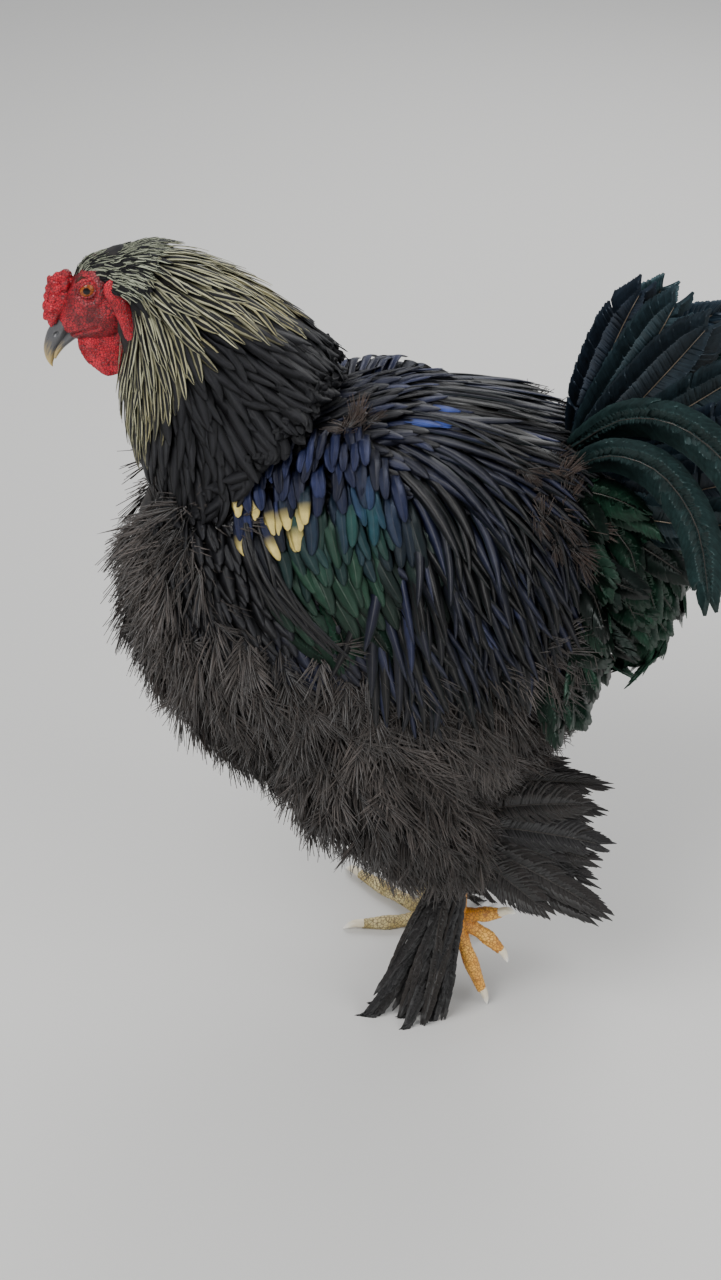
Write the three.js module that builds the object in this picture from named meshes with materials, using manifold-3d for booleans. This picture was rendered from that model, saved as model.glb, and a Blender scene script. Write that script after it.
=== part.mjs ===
// A brahma cock, life size, in the middle of a step: the right foot is planted, and the left one hangs with a
// claw on the floor. Millimetres, +Z up. The beak points to -X, the bird's left side is -Y, and the origin is
// the sole of the right foot.
import * as THREE from "three";
import { mergeVertices } from "three/addons/utils/BufferGeometryUtils.js";
import Module from "manifold-3d";

const wasm = await Module();
wasm.setup();

// Driving dimensions
const gap = 0.35; // between neighbouring nodes
const halfStance = 43; // from the midline to the middle of the right foot
const midline = -halfStance; // y of the bird's plane of symmetry
const vaneThick = 0.9;
const eyeRadius = 8.2;
const skull = { x: -203, z: 503, pitch: 45, yaw: 7, halfWide: 18.5 };
const shankRadius = 7.5;
const toeRadius = 5.6;
const deg = Math.PI / 180;

const colours = {
  skin: 0xb3202b,
  comb: 0xc8202e,
  horn: 0x4a4438,
  iris: 0xb8741f,
  hackle: 0xbdb58c,
  saddle: 0x20242e,
  wing: 0x1f2b30,
  tail: 0x1b2a27,
  fluff: 0x37312d,
  leg: 0xd0912f,
  claw: 0xd8cdb4,
};

const vec = (x, y, z) => new THREE.Vector3(x, y, z);
const mix = (a, b, t) => a + (b - a) * t;

// A seeded draw, so that each run gives the same bird.
function seeded(seed) {
  let state = seed;
  return () => {
    state = (state * 1664525 + 1013904223) % 4294967296;
    return state / 4294967296;
  };
}

// Solids: geometry to manifold and back, joins and cuts

function geometryOf(points, faces) {
  const geometry = new THREE.BufferGeometry();
  const numbers = points.flatMap((p) => [p.x, p.y, p.z]);
  geometry.setAttribute("position", new THREE.Float32BufferAttribute(numbers, 3));
  geometry.setIndex(faces.flat());
  return geometry;
}

function solid(geometry) {
  geometry.deleteAttribute("normal");
  geometry.deleteAttribute("uv");
  const merged = mergeVertices(geometry, 1e-4);
  const triVerts = new Uint32Array(merged.index.array);
  const numbers = merged.getAttribute("position").array;
  let made = new wasm.Manifold(new wasm.Mesh({ numProp: 3, vertProperties: numbers, triVerts }));
  if (made.volume() < 0) {
    for (let i = 0; i < triVerts.length; i += 3) {
      [triVerts[i + 1], triVerts[i + 2]] = [triVerts[i + 2], triVerts[i + 1]];
    }
    made = new wasm.Manifold(new wasm.Mesh({ numProp: 3, vertProperties: numbers, triVerts }));
  }
  return made;
}

const join = (pieces) => wasm.Manifold.union(pieces);
const cutBy = (piece, cutters) => cutters.reduce((left, cutter) => left.subtract(cutter), piece);

// The largest closed surface of a solid, which drops loose scraps and fills sealed hollows.
function largest(piece) {
  return piece.decompose().reduce((a, b) => (b.volume() > a.volume() ? b : a));
}

function meshOf(name, piece, colour, roughness) {
  const kept = largest(piece).getMesh();
  const position = new Float32Array(kept.numVert * 3);
  for (let i = 0; i < kept.numVert; i++) {
    position.set(kept.vertProperties.subarray(i * kept.numProp, i * kept.numProp + 3), i * 3);
  }
  const geometry = new THREE.BufferGeometry();
  geometry.setAttribute("position", new THREE.BufferAttribute(position, 3));
  geometry.setIndex(new THREE.BufferAttribute(kept.triVerts, 1));
  geometry.computeVertexNormals();
  const material = new THREE.MeshStandardMaterial({ color: colour, roughness, metalness: 0 });
  const mesh = new THREE.Mesh(geometry, material);
  mesh.name = name;
  return mesh;
}

// A closed skin over rings of points, all of one count. The second half of each ring has its squares split
// the other way, so that the two faces of a thin vane are triangulated alike.
function skinOver(rings, mirrored = false) {
  const points = rings.flat();
  const count = rings[0].length;
  const faces = [];
  for (let i = 0; i + 1 < rings.length; i++) {
    for (let j = 0; j < count; j++) {
      const k = (j + 1) % count;
      const [a, b] = [i * count + j, i * count + k];
      const [d, c] = [a + count, b + count];
      if (mirrored && j >= count / 2) faces.push([a, b, d], [b, c, d]);
      else faces.push([a, b, c], [a, c, d]);
    }
  }
  const last = (rings.length - 1) * count;
  for (let j = 1; j + 1 < count; j++) faces.push([0, j + 1, j], [last, last + j, last + j + 1]);
  return geometryOf(points, faces);
}

// A value that runs smoothly through the stations' values, read at u from 0 to 1.
function along(values, u) {
  const place = Math.min(Math.max(u, 0), 1) * (values.length - 1);
  const i = Math.min(Math.floor(place), values.length - 2);
  const t = place - i;
  const at = (k) => values[Math.min(Math.max(k, 0), values.length - 1)];
  const [a, b, c, d] = [at(i - 1), at(i), at(i + 1), at(i + 2)];
  const [slope, bend, turn] = [c - a, 2 * a - 5 * b + 4 * c - d, 3 * b - a - 3 * c + d];
  return 0.5 * (2 * b + slope * t + bend * t * t + turn * t * t * t);
}

// A body surface through stations {x, y, z, lean, up, down, wide}: each is a section that holds the Y axis
// and an axis leaning from +Z towards +X by lean degrees. It is read at u along the body and v round it, where
// v is 0 at the top and grows down the left side, and gives the point at a height above the surface.
class Form {
  constructor(stations, fullness = 2.2) {
    const numbers = (key) => stations.map((s) => s[key] ?? 0);
    this.keys = ["x", "y", "z", "lean", "up", "down", "wide"];
    this.values = Object.fromEntries(this.keys.map((key) => [key, numbers(key)]));
    this.fullness = fullness;
  }

  at(u, v, height = 0) {
    const s = Object.fromEntries(this.keys.map((key) => [key, along(this.values[key], u)]));
    const upward = Math.cos(v) > 0 ? s.up : s.down;
    const n = this.fullness;
    const [tall, broad] = [Math.abs(Math.cos(v) / upward), Math.abs(Math.sin(v) / s.wide)];
    const reach = (tall ** n + broad ** n) ** (-1 / n) + height;
    const rise = Math.cos(v) * reach;
    const [leanX, leanZ] = [Math.sin(s.lean * deg), Math.cos(s.lean * deg)];
    return vec(s.x + leanX * rise, s.y - Math.sin(v) * reach, s.z + leanZ * rise);
  }

  normal(u, v) {
    const step = 0.004;
    const du = this.at(u + step, v).sub(this.at(u - step, v));
    const dv = this.at(u, v + step).sub(this.at(u, v - step));
    return dv.cross(du).normalize();
  }

  solid(rings, sides, grow = 0) {
    const rows = [];
    for (let i = 0; i < rings; i++) {
      const u = i / (rings - 1);
      rows.push(Array.from({ length: sides }, (_, j) => this.at(u, (j / sides) * 2 * Math.PI, grow)));
    }
    return solid(skinOver(rows));
  }

  // The point and normal of each step of a line that starts at (u, v) and runs over the surface along flow.
  lay(u, v, flow, length, steps) {
    const line = [];
    for (let i = 0; i <= steps; i++) {
      const normal = this.normal(u, v);
      line.push({ point: this.at(u, v), normal });
      const step = 0.004;
      const du = this.at(u + step, v).sub(this.at(u - step, v)).divideScalar(2 * step);
      const dv = this.at(u, v + step).sub(this.at(u, v - step)).divideScalar(2 * step);
      const run = flow(u, v).clone().projectOnPlane(normal).normalize().multiplyScalar(length / steps);
      const [uu, uv, vv] = [du.dot(du), du.dot(dv), dv.dot(dv)];
      const [ru, rv] = [run.dot(du), run.dot(dv)];
      const size = uu * vv - uv * uv;
      u = Math.min(Math.max(u + (ru * vv - rv * uv) / size, 0.02), 0.98);
      v += (rv * uu - ru * uv) / size;
    }
    return line;
  }
}

// A feather: a thin leaf over a line of points, with the line's normals as its upper side. shape gives the
// width from root to tip as shares of wide, lift the height of each step, and twist the turn about its own
// length in degrees.
function vane(line, { wide, shape, lift = () => 0, twist = 0, grow = 0 }) {
  const rings = line.map(({ point, normal }, i) => {
    const next = line[Math.min(i + 1, line.length - 1)].point;
    const last = line[Math.max(i - 1, 0)].point;
    const run = next.clone().sub(last).normalize();
    const upper = normal.clone().projectOnPlane(run).normalize().applyAxisAngle(run, twist * deg);
    const side = run.clone().cross(upper);
    const t = i / (line.length - 1);
    const past = i === 0 ? -grow : i === line.length - 1 ? grow : 0;
    const middle = point.clone().addScaledVector(normal, lift(t)).addScaledVector(run, past);
    const half = (wide / 2) * along(shape, t) + grow;
    const deep = vaneThick / 2 + grow;
    const corners = [[-1, 1], [1, 1], [1, -1], [-1, -1]];
    return corners.map(([across, high]) => middle.clone()
      .addScaledVector(side, across * half)
      .addScaledVector(upper, high * deep));
  });
  return solid(skinOver(rings, true));
}

const shapes = {
  pointed: [0.55, 0.95, 0.86, 0.2],
  round: [0.5, 0.95, 1, 0.55],
  narrow: [0.6, 0.98, 0.88, 0.28],
};
const rising = (sunk, high, firm) => (t) => (t === 0 ? -sunk : mix(high * firm, high, t));

// Rows of feathers over a form. A row is {u, from, to, count, length, wide, high}, with from and to in degrees
// of v and high the height of the tips. A row with both set is laid on the left and again on the right.
function coat(form, rows, options, grow = 0) {
  const draw = seeded(options.seed);
  const pieces = [];
  rows.forEach((row, tier) => {
    const copies = row.both ? [1, -1] : [1];
    for (const copy of copies) {
      for (let i = 0; i < row.count; i++) {
        const share = (i + (tier % 2 ? 0.3 : 0) + (draw() - 0.5) * 0.3) / (row.count - 0.7);
        const v = copy * mix(row.from, row.to, share) * deg;
        const u = row.u + (draw() - 0.5) * 0.012;
        const length = row.length * (0.92 + 0.16 * draw());
        const line = form.lay(u, v, options.flow, length, 3);
        const twist = options.twist * Math.sign(Math.sin(v));
        const lift = rising(options.sunk, row.high, options.firm);
        pieces.push(vane(line, { wide: row.wide, shape: options.shape, lift, twist, grow }));
      }
    }
  });
  return pieces;
}

// Torso: stations run from the breast to the root of the tail

const torsoForm = new Form([
  { x: -190, z: 337, lean: 0, up: 8, down: 8, wide: 8 },
  { x: -186, z: 333, lean: 0, up: 38, down: 44, wide: 44 },
  { x: -172, z: 328, lean: 0, up: 65, down: 74, wide: 72 },
  { x: -140, z: 319, lean: 0, up: 95, down: 104, wide: 97 },
  { x: -100, z: 311, lean: 0, up: 121, down: 124, wide: 111 },
  { x: -55, z: 306, lean: 0, up: 139, down: 138, wide: 117 },
  { x: -8, z: 303, lean: 0, up: 148, down: 143, wide: 116 },
  { x: 38, z: 305, lean: 0, up: 137, down: 130, wide: 106 },
  { x: 76, z: 320, lean: 0, up: 108, down: 108, wide: 84 },
  { x: 102, z: 340, lean: 0, up: 74, down: 78, wide: 54 },
  { x: 114, z: 352, lean: 0, up: 40, down: 42, wide: 28 },
  { x: 117, z: 355, lean: 0, up: 8, down: 8, wide: 8 },
].map((s) => ({ ...s, y: midline })));

// Neck: stations run from the crown behind the face to the cape over the shoulders

const neckForm = new Form([
  { x: -197, z: 500, lean: 6, up: 32, down: 27, wide: 25 },
  { x: -185, z: 493, lean: 16, up: 46, down: 40, wide: 33 },
  { x: -172, z: 478, lean: 27, up: 59, down: 49, wide: 43 },
  { x: -155, z: 458, lean: 36, up: 68, down: 58, wide: 54 },
  { x: -134, z: 436, lean: 42, up: 70, down: 63, wide: 68 },
  { x: -108, z: 412, lean: 46, up: 65, down: 63, wide: 82 },
].map((s) => ({ ...s, y: midline })));

// Thighs: the left one is drawn up a little more than the right

const thighForm = (side, lower) => new Form([
  { x: -30, z: 262, lean: 90, up: 50, down: 52, wide: 40, y: midline - side * 52 },
  { x: -26, z: 225, lean: 90, up: 62, down: 60, wide: 50, y: midline - side * 62 },
  { x: -18, z: 185, lean: 90, up: 62, down: 56, wide: 50, y: midline - side * 62 },
  { x: -4, z: 150 + lower, lean: 90, up: 52, down: 46, wide: 42, y: midline - side * 58 },
  { x: 12, z: 122 + lower, lean: 90, up: 36, down: 32, wide: 29, y: midline - side * 53 },
  { x: 20, z: 106 + lower, lean: 90, up: 18, down: 18, wide: 16, y: midline - side * 49 },
], 2);

// Head: points are given forward along the beak, up, and out to the bird's left

const headPoint = (forward, up, left) => vec(-forward, -left, up)
  .applyAxisAngle(vec(0, 1, 0), -skull.pitch * deg)
  .applyAxisAngle(vec(0, 0, 1), skull.yaw * deg)
  .add(vec(skull.x, midline, skull.z));

// A closed form over sections {f, top, bottom, wide} along the head.
function headLoft(sections, rings, sides, fullness = 2.2, left = 0) {
  const read = (key, u) => along(sections.map((s) => s[key] ?? 0), u);
  const rows = Array.from({ length: rings }, (_, i) => {
    const u = i / (rings - 1);
    const [top, bottom] = [read("top", u), read("bottom", u)];
    return Array.from({ length: sides }, (_, j) => {
      const angle = (j / sides) * 2 * Math.PI;
      const [tall, broad] = [Math.abs(Math.cos(angle)), Math.abs(Math.sin(angle))];
      const reach = (tall ** fullness + broad ** fullness) ** (-1 / fullness);
      const up = (top + bottom) / 2 + ((top - bottom) / 2) * Math.cos(angle) * reach;
      return headPoint(read("f", u), up, left + read("out", u) + read("wide", u) * Math.sin(angle) * reach);
    });
  });
  return solid(skinOver(rows));
}

function ball(centre, radius, wideSegments = 12, tallSegments = 8) {
  const geometry = new THREE.SphereGeometry(radius, wideSegments, tallSegments);
  geometry.translate(centre.x, centre.y, centre.z);
  return solid(geometry);
}

// A tube of changing radius through points, such as a toe.
function tube(points, radii, sides = 8, flat = 1) {
  const axis = new THREE.CatmullRomCurve3(points, false, "centripetal");
  const rows = radii.map((radius, i) => {
    const t = i / (radii.length - 1);
    const run = axis.getTangent(t);
    const side = vec(0, 0, 1).cross(run);
    if (side.length() < 0.2) side.copy(vec(0, 1, 0).cross(run));
    side.normalize();
    const upper = run.clone().cross(side);
    const middle = axis.getPoint(t);
    return Array.from({ length: sides }, (_, j) => {
      const angle = (j / sides) * 2 * Math.PI;
      return middle.clone()
        .addScaledVector(side, Math.cos(angle) * radius)
        .addScaledVector(upper, Math.sin(angle) * radius * flat);
    });
  });
  return solid(skinOver(rows));
}

const belowFloor = (() => {
  const slab = new THREE.BoxGeometry(900, 900, 60);
  slab.translate(0, 0, -30);
  return solid(slab);
})();

const bird = new THREE.Group();
const add = (name, piece, colour, roughness) => bird.add(meshOf(name, piece, colour, roughness));

// Where a point (x, z) seen from the side meets the torso, and at what height over it.
function onTorso(x, z, side, height = 0) {
  let [low, high] = [0, 1];
  for (let i = 0; i < 22; i++) {
    const u = (low + high) / 2;
    if (torsoForm.at(u, 0).x < x) low = u;
    else high = u;
  }
  const u = (low + high) / 2;
  let [top, bottom] = [0.02, Math.PI - 0.02];
  for (let i = 0; i < 22; i++) {
    const v = (top + bottom) / 2;
    if (torsoForm.at(u, v, height).z > z) top = v;
    else bottom = v;
  }
  return torsoForm.at(u, (side * (top + bottom)) / 2, height);
}

// A closed shell between two grids of points of one size, both split alike.
function shell(outer, inner) {
  const [rows, columns] = [outer.length, outer[0].length];
  const faces = [];
  const at = (layer, i, j) => (layer * rows + i) * columns + j;
  const quad = (a, b, c, d) => faces.push([a, b, c], [a, c, d]);
  for (let i = 0; i + 1 < rows; i++) {
    for (let j = 0; j + 1 < columns; j++) {
      quad(at(0, i, j), at(0, i, j + 1), at(0, i + 1, j + 1), at(0, i + 1, j));
      quad(at(1, i, j), at(1, i + 1, j), at(1, i + 1, j + 1), at(1, i, j + 1));
    }
  }
  for (let j = 0; j + 1 < columns; j++) {
    quad(at(0, 0, j), at(1, 0, j), at(1, 0, j + 1), at(0, 0, j + 1));
    quad(at(0, rows - 1, j + 1), at(1, rows - 1, j + 1), at(1, rows - 1, j), at(0, rows - 1, j));
  }
  for (let i = 0; i + 1 < rows; i++) {
    quad(at(0, i + 1, 0), at(1, i + 1, 0), at(1, i, 0), at(0, i, 0));
    quad(at(0, i, columns - 1), at(1, i, columns - 1), at(1, i + 1, columns - 1), at(0, i + 1, columns - 1));
  }
  return solid(geometryOf([...outer.flat(), ...inner.flat()], faces));
}

// The torso, plain and grown by the gap, from which its neighbours are cut

const torsoCore = torsoForm.solid(14, 18);
const torsoRoom = torsoForm.solid(14, 18, gap);

const headSections = (grow = 0) => [
  { f: -24 - grow, top: 8, bottom: -6, wide: 6 },
  { f: -18, top: 19, bottom: -17, wide: 14 },
  { f: -6, top: 24, bottom: -23, wide: 18 },
  { f: 8, top: 22, bottom: -24, wide: skull.halfWide },
  { f: 20, top: 18, bottom: -20, wide: 16 },
  { f: 31, top: 14, bottom: -14, wide: 12 },
  { f: 38 + grow, top: 10.5, bottom: -9.5, wide: 8.5 },
].map((s) => ({ f: s.f, top: s.top + grow, bottom: s.bottom - grow, wide: s.wide + grow }));
const headSkull = (grow = 0) => headLoft(headSections(grow), 11, 14);

function eyeBall(side, grow = 0) {
  return ball(headPoint(8, 10, side * (skull.halfWide - 6)), eyeRadius + grow, 12, 8);
}

// The lids: a ring of skin round the eye, as a lathe turned to face sideways.
function eyeLids(side) {
  const [inner, outer, tall] = [6.3, 9.6, 4.2];
  const profile = [
    new THREE.Vector2(inner, -5),
    new THREE.Vector2(outer + 1.5, -5),
    new THREE.Vector2(outer, tall * 0.45),
    new THREE.Vector2(inner + 1, tall),
    new THREE.Vector2(inner, tall * 0.7),
    new THREE.Vector2(inner, -5),
  ];
  const geometry = new THREE.LatheGeometry(profile, 12);
  const at = headPoint(8, 10, side * (skull.halfWide - 2.6));
  const out = headPoint(8, 10, side * 40).sub(at).normalize();
  geometry.applyQuaternion(new THREE.Quaternion().setFromUnitVectors(vec(0, 1, 0), out));
  geometry.translate(at.x, at.y, at.z);
  return solid(geometry);
}

function beakUpper(grow = 0) {
  return headLoft([
    { f: 33.5, top: 11 + grow, bottom: 0 - grow, wide: 8 + grow },
    { f: 42, top: 10.5 + grow, bottom: -2 - grow, wide: 7.2 + grow },
    { f: 51, top: 8 + grow, bottom: -3.5 - grow, wide: 5.6 + grow },
    { f: 59, top: 2.5 + grow, bottom: -6.5 - grow, wide: 3.6 + grow },
    { f: 64 + grow, top: -4.5 + grow, bottom: -10 - grow, wide: 1.5 + grow },
  ], 8, 10, 2);
}

function beakLower(grow = 0) {
  return headLoft([
    { f: 30, top: -1.4 + grow, bottom: -9 - grow, wide: 7.2 + grow },
    { f: 40, top: -2.8 + grow, bottom: -9 - grow, wide: 6 + grow },
    { f: 49, top: -4.4 + grow, bottom: -9.2 - grow, wide: 4.4 + grow },
    { f: 57 + grow, top: -7 + grow, bottom: -9.4 - grow, wide: 2 + grow },
  ], 7, 10, 2);
}

// A pea comb: three low ridges of rounded points, the middle one highest.
function peaComb(grow = 0) {
  const pieces = [headLoft([
    { f: 9, top: 24 + grow, bottom: 17, wide: 3 + grow },
    { f: 20, top: 25 + grow, bottom: 12, wide: 7 + grow },
    { f: 33, top: 20 + grow, bottom: 9, wide: 7 + grow },
    { f: 43, top: 13 + grow, bottom: 7, wide: 3.4 + grow },
  ], 6, 8, 2.2)];
  for (const row of [-1, 0, 1]) {
    const count = row ? 2 : 5;
    for (let i = 0; i < count; i++) {
      const share = (i + (row ? 0.6 : 0)) / (row ? 2.2 : 4);
      const top = along([24, 27, 24.5, 20, 13.5], share) + (row ? -2 : 2.5);
      pieces.push(ball(headPoint(11 + share * 28, top, row * 5.2), (row ? 4.4 : 4.6) + grow, 6, 4));
    }
  }
  return join(pieces);
}

// A hanging lobe of bare skin: an outline in the plane (forward, up), rounded to a soft edge.
function lobe(outline, left, thick, grow = 0, splay = 0) {
  const middle = [0, 1].map((k) => outline.reduce((sum, p) => sum + p[k], 0) / outline.length);
  const rows = [-1, -0.72, 0.72, 1].map((level) => {
    const share = (Math.abs(level) === 1 ? 0.7 : 1) + grow / 12;
    return outline.map(([f, up]) => {
      const out = left + Math.sign(left) * (level * (thick / 2 + grow) + splay * (middle[1] - up));
      return headPoint(mix(middle[0], f, share), mix(middle[1], up, share), out);
    });
  });
  return solid(skinOver(rows));
}

const wattle = (side, grow = 0) => lobe([
  [34, -6], [40, -14], [42, -24], [40, -34], [33, -40], [25, -38], [18, -30], [13, -22], [16, -12], [25, -6],
], side * 8.5, 5, grow, 0.12);
const earlobe = (side, grow = 0) => lobe([
  [-10, -2], [-4, 2], [0, -2], [4, -14], [10, -26], [16, -36], [14, -39], [8, -34], [0, -24], [-7, -13],
], side * 19.5, 5.5, grow);
const sides = [["left", 1], ["right", -1]];
const lobes = (grow) => sides.flatMap(([, side]) => [earlobe(side, grow), wattle(side, grow)]);

// Head, beak, comb, eyes and lobes

const nostrils = [1, -1].map((side) => tube([
  headPoint(39, 4.6, side * 9.5),
  headPoint(42, 4.2, side * 6.4),
  headPoint(45, 3.6, side * 4.6),
], [1.9, 1.7, 1.2], 6));
const headCuts = [eyeBall(1, gap), eyeBall(-1, gap), beakUpper(gap), beakLower(gap)];
add("head", cutBy(join([headSkull(), eyeLids(1), eyeLids(-1)]), headCuts), colours.skin, 0.55);
add("beak_upper", cutBy(beakUpper(), nostrils), colours.horn, 0.35);
add("beak_lower", cutBy(beakLower(), [beakUpper(gap)]), colours.horn, 0.35);
for (const [name, side] of sides) {
  const cuts = [headSkull(gap), eyeBall(side, gap), beakLower(gap), beakUpper(gap)];
  add(`eye_${name}`, eyeBall(side), colours.iris, 0.15);
  add(`wattle_${name}`, cutBy(wattle(side), [...cuts, earlobe(side, gap)]), colours.comb, 0.5);
  add(`earlobe_${name}`, cutBy(earlobe(side), cuts), colours.comb, 0.5);
}

// Neck: the hackle in tiers from the crown to the cape

const hackleFlow = (u, v) => {
  const front = (1 - Math.cos(v)) / 2;
  return vec(mix(0.95, -0.05, front), 0, mix(-0.5 - 0.5 * Math.abs(Math.sin(v)), -1, front));
};
const hackleRows = [
  { u: 0.12, from: -120, to: 120, count: 6, length: 36, wide: 18, high: 5 },
  { u: 0.27, from: -150, to: 150, count: 8, length: 52, wide: 21, high: 7 },
  { u: 0.45, from: -172, to: 172, count: 10, length: 58, wide: 24, high: 8 },
  { u: 0.67, from: -172, to: 172, count: 10, length: 56, wide: 29, high: 8 },
];
const hackle = (grow) => coat(neckForm, hackleRows, {
  seed: 11, flow: hackleFlow, shape: shapes.pointed, sunk: 3, twist: 7, firm: 0.3,
}, grow);
const neckCore = (grow = 0) => neckForm.solid(8, 14, grow);
const neck = (grow = 0) => join([neckCore(grow), ...hackle(grow)]);

// Wings: a pad over the side of the torso with coverts and folded flight feathers, set out in side view

const wingEdges = {
  front: -116,
  back: 60,
  lower: [393, 354, 336, 329, 325, 323, 326],
  upper: [404, 424, 432, 430, 416, 388, 350],
};
function wingPad(side, grow = 0) {
  const grid = (height, sunk) => Array.from({ length: 7 }, (_, i) => {
    const s = i / 6;
    const x = mix(wingEdges.front - grow, wingEdges.back + grow, s);
    return Array.from({ length: 4 }, (_, j) => {
      const t = j / 3;
      const z = mix(along(wingEdges.lower, s) - grow, along(wingEdges.upper, s) + grow, t);
      return onTorso(x, z, side, sunk ?? height * (0.15 + 0.85 * Math.sin(Math.PI * mix(0.1, 0.9, t))));
    });
  });
  return shell(grid(1.6 + grow), grid(0, -5));
}

// A row of feathers on the side of the torso, from a line of roots to a line of tips, each an (x, z) pair.
function sideRow(side, row, grow) {
  const draw = seeded(row.seed);
  return Array.from({ length: row.count }, (_, i) => {
    const share = (i + (draw() - 0.5) * 0.25) / (row.count - 1);
    const root = [mix(row.roots[0][0], row.roots[1][0], share), mix(row.roots[0][1], row.roots[1][1], share)];
    const tip = [mix(row.tips[0][0], row.tips[1][0], share), mix(row.tips[0][1], row.tips[1][1], share)];
    const line = Array.from({ length: 4 }, (_, k) => {
      const [x, z] = [mix(root[0], tip[0], k / 3), mix(root[1], tip[1], k / 3)];
      const point = onTorso(x, z, side);
      return { point, normal: onTorso(x, z, side, 4).sub(point).normalize() };
    });
    const lift = (t) => (t === 0 ? -0.6 : mix(row.high - 0.6, row.high + 0.6, t));
    return vane(line, { wide: row.wide, shape: shapes.round, lift, twist: side * 5, grow });
  });
}
const wingRows = [
  { count: 6, roots: [[-76, 366], [8, 406]], tips: [[-20, 320], [74, 326]], wide: 29, high: 4.6 },
  { count: 5, roots: [[-96, 388], [-8, 424]], tips: [[-54, 342], [34, 378]], wide: 28, high: 7.6 },
  { count: 4, roots: [[-108, 404], [-18, 436]], tips: [[-76, 366], [14, 400]], wide: 33, high: 10.6 },
  { count: 3, roots: [[-110, 412], [-44, 438]], tips: [[-86, 384], [-18, 410]], wide: 32, high: 13 },
];
function wing(side, grow = 0) {
  const feathers = wingRows.flatMap((row, i) => sideRow(side, { ...row, seed: 21 + i }, grow));
  return join([wingPad(side, grow), ...feathers]);
}

// Tail: a core behind the torso, its covert feathers, and a tent of flight feathers with two sickles a side

const tailForm = new Form([
  { x: 76, z: 398, lean: 0, up: 20, down: 60, wide: 30 },
  { x: 98, z: 390, lean: 0, up: 30, down: 82, wide: 46 },
  { x: 120, z: 378, lean: 0, up: 36, down: 98, wide: 47 },
  { x: 140, z: 362, lean: 0, up: 42, down: 86, wide: 38 },
  { x: 156, z: 350, lean: 0, up: 30, down: 46, wide: 22 },
  { x: 162, z: 346, lean: 0, up: 8, down: 10, wide: 6 },
].map((s) => ({ ...s, y: midline })), 2);
const tailCore = (grow = 0) => tailForm.solid(8, 12, grow);

const rectrices = { count: 6, topAngle: 74, lowAngle: 0, length: 130, wide: 42 };
function tailFan(side, grow) {
  const draw = seeded(31);
  return Array.from({ length: rectrices.count }, (_, i) => {
    const share = i / (rectrices.count - 1);
    const rise = (mix(rectrices.topAngle, rectrices.lowAngle, share) + (draw() - 0.5) * 4) * deg;
    const length = rectrices.length * (0.96 + 0.1 * Math.sin(Math.PI * share) + 0.04 * draw());
    const line = Array.from({ length: 4 }, (_, k) => {
      const t = k / 3;
      const bend = (3 - 9 * share) * t * t * deg;
      const out = mix(4 + 2.6 * i, 9 + 6.6 * i, t) + 4 * Math.sin(Math.PI * t);
      const [back, up] = [Math.cos(rise - bend) * length * t, Math.sin(rise - bend) * length * t];
      return { point: vec(94 + back, midline - side * out, 418 - 5 * i + up), normal: vec(0, -side, 0.12) };
    });
    const wide = rectrices.wide * (1 - 0.12 * share);
    return vane(line, { wide, shape: shapes.round, twist: side * 4, grow });
  });
}
const sickle = {
  points: [[96, 432, 22], [128, 470, 40], [166, 474, 50], [200, 440, 56], [216, 392, 58]],
  wide: 26,
};
function sickleFeather(side, grow) {
  const points = sickle.points.map(([x, z, out]) => vec(x, midline - side * out, z));
  const curve = new THREE.CatmullRomCurve3(points);
  const line = curve.getPoints(5).map((point) => ({ point, normal: vec(0.15, -side, 0.2) }));
  return vane(line, { wide: sickle.wide, shape: shapes.pointed, grow });
}
const covertRows = [
  { u: 0.4, from: 40, to: 140, count: 4, length: 60, wide: 24, high: 9, both: true },
  { u: 0.64, from: 60, to: 150, count: 3, length: 48, wide: 24, high: 11, both: true },
];
const coverts = (grow) => coat(tailForm, covertRows, {
  seed: 33, flow: () => vec(0.62, 0, -0.8), shape: shapes.round, sunk: 4, twist: 13, firm: 0.35,
}, grow);
const tailFeathers = (grow) => [
  ...coverts(grow), ...sides.flatMap(([, side]) => [...tailFan(side, grow), sickleFeather(side, grow)]),
];
const tail = (grow = 0) => join([tailCore(grow), ...tailFeathers(grow)]);

// Saddle: a mantle over the rear of the back whose feathers fall over the wing tips

function mantle(grow = 0) {
  const grid = (height) => Array.from({ length: 5 }, (_, i) => Array.from({ length: 8 }, (_, j) => {
    const v = mix(-56 - grow, 56 + grow, j / 7) * deg;
    return torsoForm.at(mix(0.56 - grow / 200, 0.86 + grow / 200, i / 4), v, height);
  }));
  return shell(grid(4 + grow), grid(-5));
}
const saddleFlow = (u, v) => {
  const flank = Math.min(Math.abs(Math.sin(v)) * 1.25, 1);
  return vec(mix(1, 0.42, flank), 0, mix(-0.2, -1, flank));
};
const saddleRows = [
  { u: 0.58, from: -50, to: 50, count: 5, length: 64, wide: 28, high: 9 },
  { u: 0.67, from: -60, to: 60, count: 7, length: 76, wide: 26, high: 12 },
  { u: 0.76, from: -56, to: 56, count: 6, length: 50, wide: 26, high: 12 },
];
const saddleFeathers = (grow) => coat(torsoForm, saddleRows, {
  seed: 41, flow: saddleFlow, shape: shapes.narrow, sunk: 1, twist: 7, firm: 0.5,
}, grow);
const saddle = (grow = 0) => join([mantle(grow), ...saddleFeathers(grow)]);

// Legs: each has a thigh with its hock plume, a shank, a foot and four claws

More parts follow.
